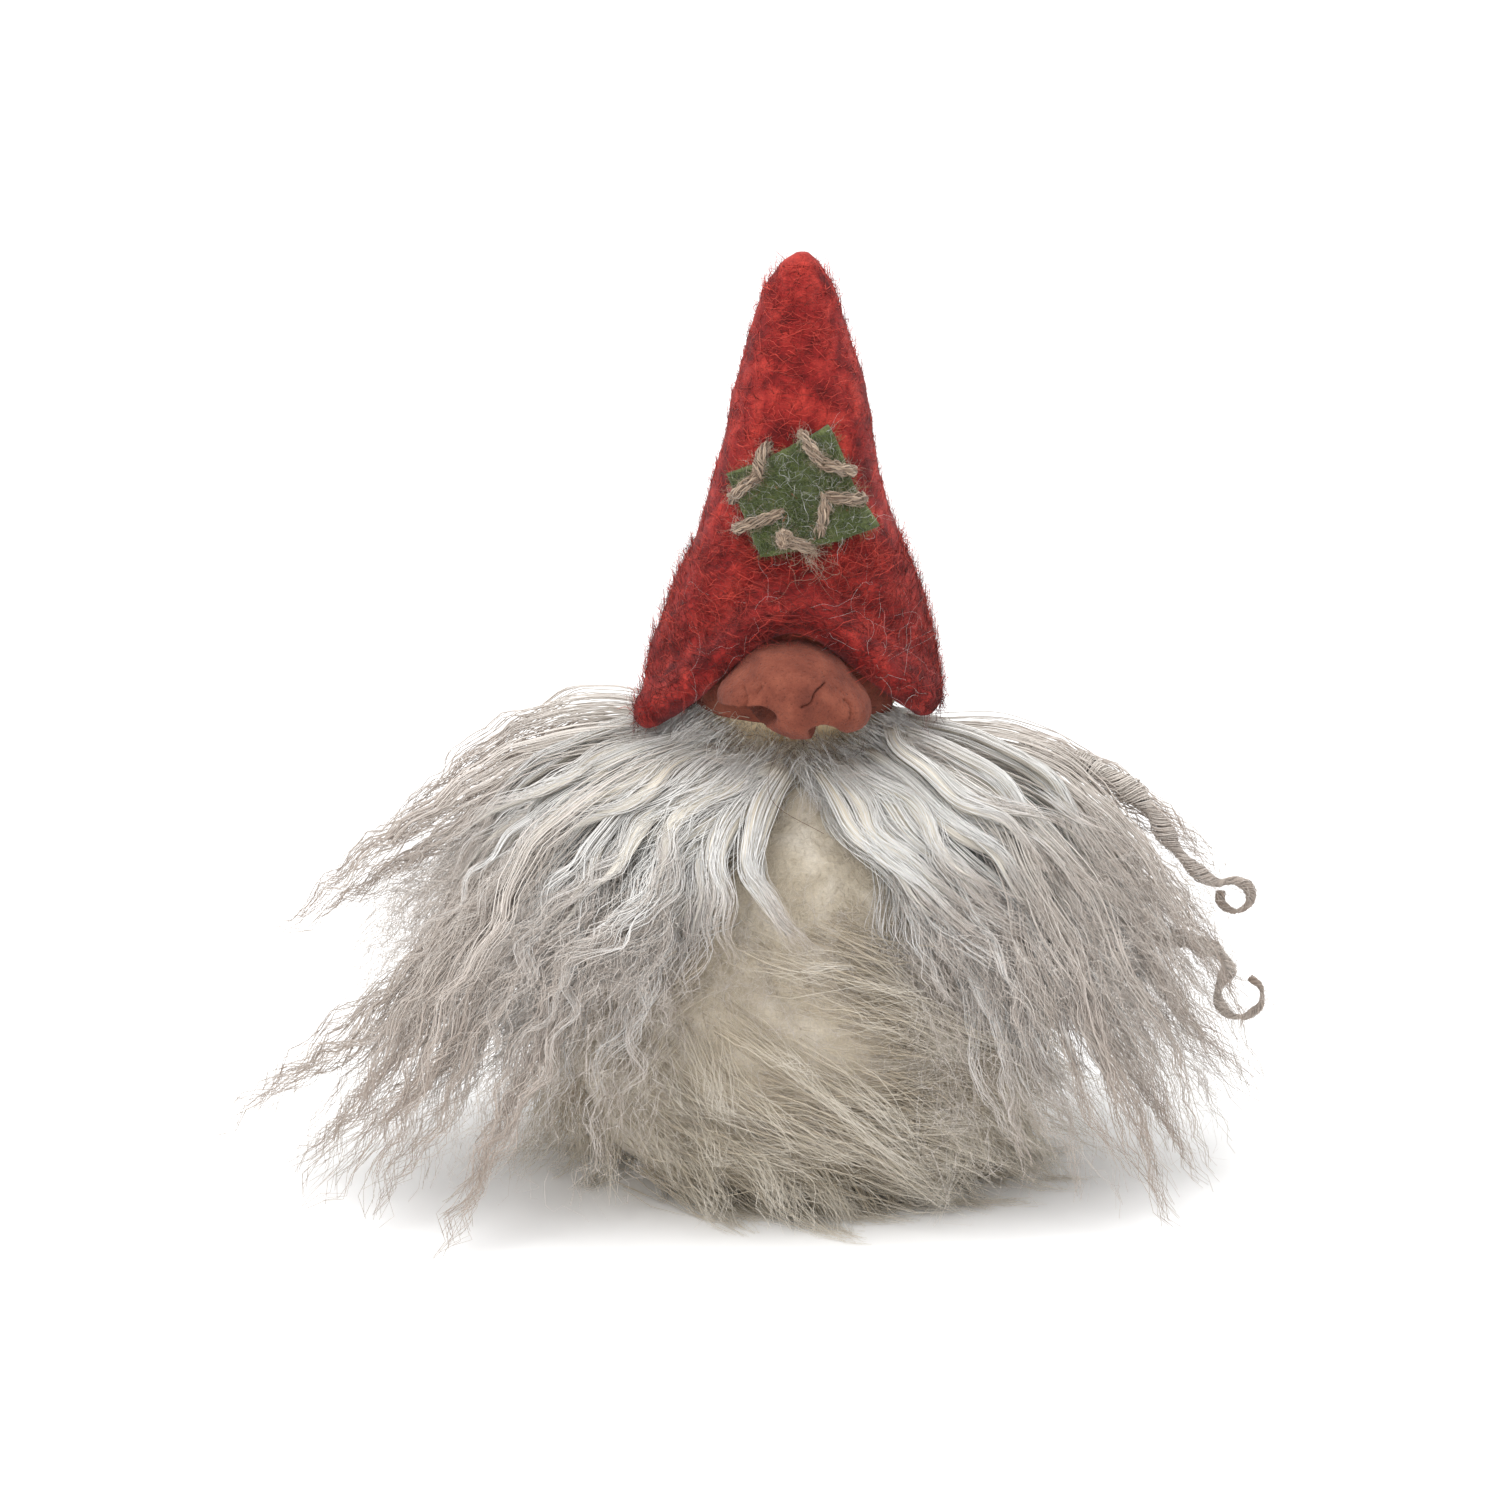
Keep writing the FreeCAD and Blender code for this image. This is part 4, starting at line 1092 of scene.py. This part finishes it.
def ellipsoid(points, centre, radii):
    """About the distance from an ellipsoid's surface, negative inside."""
    p = (points - np.array(centre)) / np.array(radii)
    length = np.linalg.norm(p, axis=-1)
    return (length - 1) * min(radii) * 1.1


def blend_min(a, b, soft):
    share = np.clip(0.5 + 0.5 * (b - a) / soft, 0, 1)
    return lerp(b, a, share) - soft * share * (1 - share)


def nose_field(points):
    """Negative inside the nose, whose lumps run together like pressed clay."""
    total = None
    for centre, radii in NOSE_LUMPS:
        value = ellipsoid(points, centre, radii)
        total = value if total is None else blend_min(total, value, 2.1)
    for centre, radii in NOSTRILS:
        total = -blend_min(-total, ellipsoid(points, centre, radii), 0.5)
    return total


def nose_points(directions):
    """Where rays from the nose's middle leave the clay."""
    low = np.zeros(len(directions))
    found = np.zeros(len(directions), bool)
    step = 0.25
    reach = np.zeros(len(directions))
    for _ in range(80):
        reach = np.where(found, reach, reach + step)
        inside = nose_field(directions * reach[:, None]) < 0
        low = np.where(inside & ~found, reach, low)
        found |= ~inside
    high = low + step
    for _ in range(12):
        middle = (low + high) / 2
        inside = nose_field(directions * middle[:, None]) < 0
        low, high = np.where(inside, middle, low), np.where(inside, high, middle)
    return directions * low[:, None]


def crack(points, line, width, depth):
    """How deep a crack that follows a line on the nose's front cuts at each point."""
    near = np.full(len(points), 1e9)
    line = smooth_line([(x, 0, z) for x, z in line], 30)
    wobble = noise(points * np.array([1, 0.2, 1]), 0.7, 21) * 0.22
    for p in line:
        near = np.minimum(near, np.hypot(points[:, 0] - p[0] + wobble, points[:, 2] - p[2] + wobble))
    return depth * np.exp(-((near / width) ** 2)) * (points[:, 1] < 2)


def make_face():
    ball = bmesh.new()
    bmesh.ops.create_icosphere(ball, subdivisions=7, radius=1.0)
    directions = np.array([v.co for v in ball.verts])
    faces = np.array([[v.index for v in f.verts] for f in ball.faces])
    ball.free()
    points = nose_points(directions)
    push = 0.22 * noise(points, 3.0, 4) + 0.1 * noise(points, 1.1, 5) + 0.07 * noise(points, 0.5, 6)
    push -= crack(points, [(3.6, 3.4), (2.4, 2.2), (2.0, 0.8), (0.6, 0.0)], 0.15, 0.7)
    push -= crack(points, [(-8.6, 0.6), (-7.9, -0.8), (-8.3, -1.9)], 0.2, 0.7)
    push -= crack(points, [(-5.8, 1.6), (-6.4, 0.4)], 0.15, 0.3)
    push -= crack(points, [(7.2, 1.4), (8.2, 0.2), (8.4, -1.4)], 0.16, 0.6)
    points = points + directions * push[:, None]
    turned = points.copy()
    turned[:, 0] = points[:, 0] * math.cos(NOSE_TILT) + points[:, 2] * math.sin(NOSE_TILT)
    turned[:, 2] = -points[:, 0] * math.sin(NOSE_TILT) + points[:, 2] * math.cos(NOSE_TILT)
    nose = make_mesh("clay_nose", turned + NOSE_CENTRE, np.empty((0, 4), int), faces)
    finish_piece(nose, "figure", CLAY, ["clay_face"])
    finish_piece(face_plate(), "figure", CLAY)


def face_plate():
    """The curved plate that the nose is pressed onto, a closed bent slab."""
    across, up = 120, 60
    x = np.linspace(-16.4, 15.0, across)
    z = np.linspace(74.6, 89.3, up)
    skins = []
    for radius in (18.5, 15.1):
        gx, gz = np.meshgrid(x, z)
        edge = 0.5 * noise(np.stack([gx, gz, 0 * gx], -1), 3.0, 9)
        gz = gz + edge * (gz < 76)
        gy = -np.sqrt(np.maximum(radius**2 - gx**2 - (gz - 82) ** 2, 0.5))
        skins.append(np.stack([gx, gy, gz], -1))
    skins[0] = skins[0] + (0.12 * noise(skins[0], 1.6, 12))[..., None] * np.array([0, -1, 0])
    count = across * up
    points = np.concatenate([s.reshape(-1, 3) for s in skins])
    quads = closed_slab(grid_faces(up, across, closed=False), up, across, count)
    return make_mesh("clay_face_plate", points, quads)


# ---------------------------------------------------------------- hat

# The hat's outline from brim to tip, the CAD's sections with a smaller tip: level, radius, and
# lean to the right.
HAT_LINE = [
    (70.8, 23.5, 0), (76, 23, 0), (84, 22, 0), (92, 19.5, 0), (100, 16, 0), (108, 13.5, 0),
    (116, 11.5, 0.5), (124, 10, 0.5), (132, 7.5, 0.5), (138, 5.5, 0.5), (142.5, 4, 0.5), (144.8, 1, 1),
]  # fmt: skip
HAT_BOTTOM = 70.8
HAT_TOP = 144.8
# The felt's dents fade out from this level up to the tip.
HAT_SMOOTH_FROM = 138
WALL = 2.9
# The share of the way up from the brim's edge at which the rolled edge begins.
ROLL_FROM = 0.022

# The arch over the nose: how far the brim's front edge lifts, how far to each side the arch
# reaches, and how full it is (lower is fuller).
ARCH_RISE = 17.5
ARCH_REACH = 22
ARCH_FULLNESS = 0.7


def hat_at(level):
    """The hat's outside radius and lean at a level, with the corners between sections eased."""
    levels, radii, leans = (np.array(c) for c in zip(*HAT_LINE))
    reach = np.clip(np.minimum(level - HAT_BOTTOM, HAT_TOP - level), 0, 3)
    places = [level + step * reach for step in (-1, -0.5, 0, 0.5, 1)]
    radius = sum(np.interp(p, levels, radii) for p in places) / len(places)
    lean = sum(np.interp(p, levels, leans) for p in places) / len(places)
    return radius, lean


def brim_level(bearing):
    """The level of the brim's edge: low at the sides and the back, arched over the nose."""
    a = np.radians(bearing)
    x = 22.8 * np.cos(a)
    across = np.clip(np.abs(x + 0.6) / ARCH_REACH, 0, 1)
    lift = ARCH_RISE * ((1 + np.cos(math.pi * across)) / 2) ** ARCH_FULLNESS * (np.sin(a) < 0)
    right = 1.6 * ease(6, 20, x) * (np.sin(a) < 0.4)
    return 73.3 + right + lift + 0.35 * np.sin(a * 5 + 1) * (np.sin(a) > -0.5)


def hat_skin(bearing, share, inset):
    """Points of the hat from brim (share 0) to tip (share 1), inset from its outside."""
    edge = brim_level(bearing)
    level = edge + (HAT_TOP - edge) * share
    radius, lean = hat_at(level)
    above = level - edge
    frontness = ease(-0.1, 0.7, -np.sin(np.radians(bearing)))
    roll = 1.9 * np.exp(-(((above - 2.6) / 3.4) ** 2)) - 0.7 * np.exp(-(((above - 10) / 3.5) ** 2))
    thick = 1.0 + 0.55 * np.exp(-((above / 4.5) ** 2))
    radius = radius + roll * frontness - inset * thick
    side = np.radians(bearing)
    points = np.stack(
        [lean + radius * np.cos(side), radius * np.sin(side), level], axis=-1
    )
    lobe = np.exp(-(((points - np.array([-21.0, -7.0, 75.5])) / 4.2) ** 2).sum(-1))
    waist = np.exp(-(((points - np.array([-22.5, -7.0, 82.0])) / 3.8) ** 2).sum(-1))
    points = points + lobe[..., None] * np.array([-2.2, -1.5, -1.3])
    return points + waist[..., None] * np.array([1.1, 0.4, 0])


def make_hat():
    columns = 256
    bearing = np.arange(columns) * 360 / columns
    rows = []
    outer = np.linspace(1, ROLL_FROM, 170) ** 1.05
    for share in outer:
        rows.append(hat_skin(bearing, share, 0.0))
    edge_low = hat_skin(bearing, ROLL_FROM, 0.0)
    inner_low = hat_skin(bearing, ROLL_FROM, WALL)
    middle = (edge_low + inner_low) / 2
    for turn in np.linspace(0, math.pi, 11)[1:-1]:
        half = (edge_low - inner_low) / 2
        drop = np.zeros_like(middle)
        drop[:, 2] = -math.sin(turn) * 2.6
        rows.append(middle + half * math.cos(turn) + drop)
    for share in np.linspace(ROLL_FROM, 0.90, 60):
        rows.append(hat_skin(bearing, share, WALL))
    points = np.concatenate(rows)
    outside = len(outer) + 9
    away = unit(points * np.array([1, 1, 0]) + np.array([0, 0, 0.01]))
    swell = hat_swell(points)
    near_tip = ease(HAT_TOP, HAT_SMOOTH_FROM, points[:, 2])
    amount = np.where(np.arange(len(points)) < outside * columns, 1.0, 0.4) * near_tip
    points = points + away * (swell * amount)[:, None]
    quads = grid_faces(len(rows), columns)[:, ::-1]
    cap = np.stack([np.zeros(columns - 2, int), np.arange(1, columns - 1), np.arange(2, columns)], 1)
    inner_cap = cap[:, ::-1] + (len(rows) - 1) * columns
    hat = make_mesh("hat_red_felt", points, quads, np.vstack([cap, inner_cap]))
    finish_piece(hat, "hat", RED_FELT, ["hat_shell"])


# The fibres on the hat's felt: name, how many, the shares of its height and the bearings
# they lie between, their length, and how far they stand off.
HAT_FUZZ = [
    ("hat_fuzz_point", 5200, (0.3, 0.975), (0, 360), 2.8, 0.004),
    ("hat_fuzz_brim_front", 5600, (0.0, 0.36), (180, 360), 4.2, 0.07),
    ("hat_fuzz_brim_rear", 4600, (0.0, 0.36), (0, 180), 4.2, 0.05),
]


def make_hat_fuzz():
    """Fibres that lie on the hat's felt, from maroon to bright red, with painted shade that darkens them
    towards the brim and most of all at its edge.
    """
    for name, count, shares, bearings, length, stand in HAT_FUZZ:
        bundle = Bundle()
        share = lerp(*shares, rng.uniform(0, 1, count) ** 1.3)
        bearing = rng.uniform(*bearings, count)
        points = hat_skin(bearing, share, 0.0)
        outward, round_way = round_about(bearing)
        stand_off = hat_swell(points) * ease(HAT_TOP, HAT_SMOOTH_FROM, points[:, 2]) + 0.02
        points = points + outward * stand_off[:, None]
        sign = rng.choice([-1, 1], count)[:, None]
        ways = unit(round_way * sign + rng.normal(0, 0.8, (count, 3)))
        ways = unit(ways - outward * (ways * outward).sum(1, keepdims=True))
        ways = unit(ways + outward * rng.normal(stand, stand * 0.7, (count, 1)))
        # Painted shade: the fibres are darker the lower they sit on the hat, where less light falls from
        # above, and darkest within a few millimetres of the brim's edge, under the rolled brim.
        shade = 0.28 + 0.42 * share - 0.35 * np.exp(-((share * 75 / 2.2) ** 2))
        tone = np.clip(shade + 0.28 * noise(points, 5.5, 61) + rng.normal(0, 0.34, count), 0, 1)
        frizz(bundle, points, ways, length, lerp(0.036, 0.07, tone**2)[:, None], tone, 5, 0.35)
        bundle.piece(name, "hat", RED_FIBRE, "hat_felt")


def hat_swell(points):
    """The soft dents and bumps of the hat's felt."""
    return 0.55 * noise(points, 13, 31) + 0.28 * noise(points, 5.5, 32) + 0.12 * noise(points, 1.8, 33)


def make_stray_fibres():
    """Long pale wool fibres that cling to the brim and hang below the patch."""
    bundle = Bundle()
    count = 40
    bearing = rng.normal(284, 38, count)
    points = hat_skin(bearing, rng.beta(1.2, 3.5, count) * 0.36, -0.7)
    outward, _ = round_about(bearing)
    ways = unit(rng.normal(0, 1, (count, 3)))
    ways = unit(ways - outward * (ways * outward).sum(1, keepdims=True) * 0.8)
    frizz(bundle, points, ways, 11.0, 0.012, rng.uniform(0.7, 1, count), 26, 0.7)
    return bundle.piece("hat_stray_fibres", "hat", WOOL, "curly_wool")


# ---------------------------------------------------------------- patch and twine

PATCH_THICK = 1.3

# The hand-cut patch on its own turned grid: it is taller at its right side, by the flare, and
# its top lies further left than its foot, by the lean.
PATCH_TURN = math.radians(20)
PATCH_MIDDLE = (0.2, 109.4)
PATCH_HALF_WIDTH = 8.5
PATCH_HALF_RISE = 7.4
PATCH_FLARE = 1.2
PATCH_LEAN = 0.4


def on_hat(across, up, out):
    """A place in front of the hat on the patch's own turned grid."""
    across, up, out = np.broadcast_arrays(*(np.asarray(v, float) for v in (across, up, out)))
    side = PATCH_MIDDLE[0] + across * math.cos(PATCH_TURN) - up * math.sin(PATCH_TURN)
    level = PATCH_MIDDLE[1] + across * math.sin(PATCH_TURN) + up * math.cos(PATCH_TURN)
    radius, lean = hat_at(level)
    angle = np.arcsin(np.clip((side - lean) / (radius + 1), -1, 1))
    reach = radius + out
    return np.stack([lean + reach * np.sin(angle), -reach * np.cos(angle), level], axis=-1)


def patch_place(u, v):
    """The place on the patch's grid of shares u and v, from -1 to 1, of its width and height."""
    u, v = np.asarray(u, float), np.asarray(v, float)
    return PATCH_HALF_WIDTH * u - PATCH_LEAN * v, v * (PATCH_HALF_RISE + PATCH_FLARE * u)


def lift_off(across, up):
    """How far the patch stands off the hat: most at its low right corner and low edge."""
    low = ease(0.8, 8.2, -up)
    right = ease(-1.8, 9.2, across)
    left = ease(5.0, 9.2, -across)
    return 1.1 * low * right + 0.5 * low + 0.35 * left + 0.25 * right


def make_patch():
    across, up = 110, 100
    u, v = np.meshgrid(np.linspace(-1, 1, across), np.linspace(-1, 1, up))
    gu, gv = patch_place(u, v)
    flat = np.stack([gu, gv, 0 * gu], -1)
    gu = gu + 0.25 * noise(flat, 3.0, 51) * ease(0.8, 1, np.abs(u))
    gv = gv + 0.25 * noise(flat, 3.0, 52) * ease(0.8, 1, np.abs(v))
    edge = np.maximum(np.abs(u), np.abs(v))
    thin = PATCH_THICK * (1 - 0.35 * ease(0.93, 1.0, edge))
    stand = lift_off(gu, gv) + 0.12 * noise(flat, 2.5, 53)
    top = on_hat(gu, gv, stand + thin + 0.25)
    under = on_hat(gu, gv, stand + 0.35)
    quads = closed_slab(grid_faces(up, across, closed=False), up, across, across * up)
    points = np.concatenate([top.reshape(-1, 3), under.reshape(-1, 3)])
    patch = make_mesh("hat_patch_felt", points, quads)
    finish_piece(patch, "hat", GREEN_FELT, ["hat_patch"])

    bundle = Bundle()
    many = 3600
    pu, pv = patch_place(rng.uniform(-0.94, 0.94, many), rng.uniform(-0.94, 0.94, many))
    starts = on_hat(pu, pv, lift_off(pu, pv) + PATCH_THICK + 0.28)
    outward = unit(starts * np.array([1, 1, 0]))
    ways = rng.normal(0, 1, (many, 3))
    ways = unit(ways - outward * ((ways * outward).sum(1, keepdims=True)) + outward * 0.12)
    frizz(bundle, starts, ways, 1.8, 0.04, rng.beta(1.3, 1.3, many), 5, 0.6)
    bundle.piece("hat_patch_fuzz", "hat", GREEN_FIBRE, "patch_felt")
    pale = Bundle()
    few = 240
    frizz(pale, starts[:few], ways[:few], 3.6, 0.022, rng.uniform(0.6, 1, few), 10, 0.8)
    pale.piece("hat_patch_pale_hairs", "hat", WOOL, "patch_felt")


def twine(name, points, nodes, width=1.05, strands=10, turns_per_mm=0.14, hairs=150):
    """A stretch of fuzzy three-ply jute twine along points."""
    steps = 28
    line = smooth_line(points, steps)
    length = np.linalg.norm(np.diff(line, axis=0), axis=1).sum()
    along = unit(np.gradient(line, axis=0))
    across = unit(np.cross(along, np.array([0.3, 0.2, 1.0])))
    other = np.cross(along, across)
    t = np.linspace(0, 1, steps)
    bundle = Bundle()
    ends = 0.75 + 0.25 * np.sin(math.pi * t)
    for ply in range(3):
        spin = t * length * turns_per_mm * 2 * math.pi + ply * 2 * math.pi / 3
        middle = line + (across * np.cos(spin)[:, None] + other * np.sin(spin)[:, None]) * width * 0.42
        angle = rng.uniform(0, 2 * math.pi, (strands, 1))
        far = np.sqrt(rng.uniform(0.1, 1, (strands, 1))) * width * 0.62
        turn = angle - spin[None] * 1.3
        paths = middle[None] + across[None] * (np.cos(turn) * far * ends)[..., None]
        paths = paths + other[None] * (np.sin(turn) * far * ends)[..., None]
        paths = paths + rng.normal(0, 0.035, paths.shape)
        bundle.add(paths, np.full((strands, steps), 0.13), rng.beta(1.2, 1.1, strands))
    spots = rng.integers(2, steps - 2, hairs)
    ways = unit(along[spots] * 0.7 + rng.normal(0, 0.6, (hairs, 3)))
    frizz(bundle, line[spots], ways, 2.4, 0.028, rng.uniform(0.5, 1, hairs), 7, 0.9)
    return bundle.piece(name, "hat", JUTE, "jute", nodes)


# Each corner's hole in the patch, then how far its two stitches run from there: one out over
# the patch's side, and one over its top or bottom edge. The last starts at the knot.
STITCH_RUNS = {
    "top_left": ((-4.0, 5.0), (-5.5, -2.5), (2.0, 3.5)),
    "top_right": ((5.0, 4.0), (4.0, -3.5), (-1.0, 4.5)),
    "low_right": ((4.0, -1.0), (5.0, -3.0), (-3.0, -5.0)),
    "low_left": ((-3.0, -1.0), (-7.5, -0.5), (3.0, -3.0)),
}
KNOT_PLACE = (-3.5, -4.5)
INNER_RUN = 4.5


def stitch_line(start, run):
    """A stitch from its hole in the patch to its outer end, bowed away from the felt."""
    def out(place, more):
        return float(lift_off(np.array(place[0]), np.array(place[1]))) + PATCH_THICK + more

    start = np.array(start)
    places = [start + np.array(run) * share for share in (0.0, 0.16, 0.5, 0.84, 1.0)]
    rises = (0.1, 0.95, 1.15, 0.7)
    bow = [on_hat(*place, out(place, rise)) for place, rise in zip(places, rises)]
    return [on_hat(*start, -0.6), *bow, on_hat(*places[-1], 0.7), on_hat(*places[-1], -1.2)]


def make_twine():
    for corner, (hole, side_run, edge_run) in STITCH_RUNS.items():
        for kind, run in (("side", side_run), ("edge", edge_run)):
            node = f"stitch_{corner}_{kind}"
            start = KNOT_PLACE if node == "stitch_low_left_edge" else hole
            twine(node + "_twine", stitch_line(start, run), [node], 1.0, 13)

    place = on_hat(*KNOT_PLACE, PATCH_THICK + 2.2)
    turns = np.linspace(0, 2 * math.pi * 3, 30)
    knot = [place + 0.95 * np.array([math.cos(a) * math.cos(0.37 * a), math.cos(a) * math.sin(0.37 * a),
                                     math.sin(a)]) for a in turns]  # fmt: skip
    twine("twine_knot_tied", knot, ["twine_knot"], 0.75, 12, 0.2, 70)
    loop = [(x * INNER_RUN, z * INNER_RUN) for x, z in ((-1, -1), (-1, 1), (1, 1), (1, -1))]
    inner = [on_hat(*lerp(np.array(a), np.array(b), s), -WALL - 1.35)
             for a, b in zip(loop, loop[1:]) for s in (0.05, 0.5, 0.95)]  # fmt: skip
    twine("twine_inner_runs_laid", inner, ["twine_inner_runs"], 1.0)

    frayed = Bundle()
    count = 26
    starts = on_hat(-0.5, -7.5, PATCH_THICK + 1.2) + rng.normal(0, 0.5, (count, 3))
    ways = unit(np.array([0.1, -0.15, -1.0]) + rng.normal(0, 0.5, (count, 3)))
    frizz(frayed, starts, ways, 5.5, 0.03, rng.uniform(0.6, 1, count), 16, 1.2)
    frayed.piece("twine_frayed_ends", "hat", JUTE, "jute")


def make_stuffing():
    """The wool packed into the hat's point."""
    profile = [(0, 100.8), (9, 100.6), (12.4, 101.2), (11.6, 104.5), (9.8, 109), (8.0, 116), (6.6, 124),
               (3.6, 132), (0, 137)]  # fmt: skip
    stuffing = revolve("hat_stuffing_wool", profile, 96, 0.4, 3.0, 8)
    finish_piece(stuffing, "hat", STUFFING, ["hat_stuffing"])


# ---------------------------------------------------------------- studio


WORLD_STRENGTH = 1.14

# Lamps: name, place in metres, size in metres and power in watts.
LAMPS = [
    ("key", (-0.45, -0.55, 0.75), 0.6, 3.8),
    ("top", (0.1, 0.1, 0.9), 0.7, 4.0),
]
LAMPS_AIM = Vector((0, 0, 0.06))

# The camera's distance, its height above level, what it looks at, and the width that it
# sees there, in metres and degrees.
CAMERA_DISTANCE = 1.2
CAMERA_ELEVATION = math.radians(15)
CAMERA_TARGET = Vector((-0.0061, 0, 0.0649))
CAMERA_WIDTH = 0.2359
SENSOR_MM = 36


def make_studio():
    bpy.ops.mesh.primitive_plane_add(size=16.0, location=(0, 0, 0))
    floor = bpy.context.object
    floor.name = "studio_floor"
    floor.data.materials.append(floor_material())

    world = bpy.data.worlds.new("studio")
    bpy.context.scene.world = world
    world.use_nodes = True
    background = world.node_tree.nodes["Background"]
    background.inputs["Color"].default_value = (1.0, 1.0, 1.0, 1.0)
    background.inputs["Strength"].default_value = WORLD_STRENGTH

    for name, place, size, power in LAMPS:
        data = bpy.data.lights.new(name, "AREA")
        data.energy = power
        data.size = size
        light = bpy.data.objects.new(name, data)
        light.location = place
        light.rotation_euler = (LAMPS_AIM - Vector(place)).to_track_quat("-Z", "Y").to_euler()
        bpy.context.scene.collection.objects.link(light)

    scene = bpy.context.scene
    scene.view_settings.view_transform = "Standard"
    scene.view_settings.look = "None"
    camera_data = bpy.data.cameras.new("camera")
    camera_data.lens = SENSOR_MM * CAMERA_DISTANCE / CAMERA_WIDTH
    camera_data.sensor_width = SENSOR_MM
    camera_data.clip_start = 0.05
    camera = bpy.data.objects.new("camera", camera_data)
    back_and_up = Vector((0, -math.cos(CAMERA_ELEVATION), math.sin(CAMERA_ELEVATION)))
    camera.location = CAMERA_TARGET + CAMERA_DISTANCE * back_and_up
    camera.rotation_euler = (CAMERA_TARGET - camera.location).to_track_quat("-Z", "Y").to_euler()
    scene.collection.objects.link(camera)
    scene.camera = camera


make_studio()
make_body()
make_fleece_fibres()
make_veil()
make_front_felt()
make_collar()
make_face()
make_wool()
make_ringlets()
make_hat()
make_hat_fuzz()
make_stray_fibres()
make_patch()
make_twine()
make_stuffing()

bpy.context.view_layer.update()
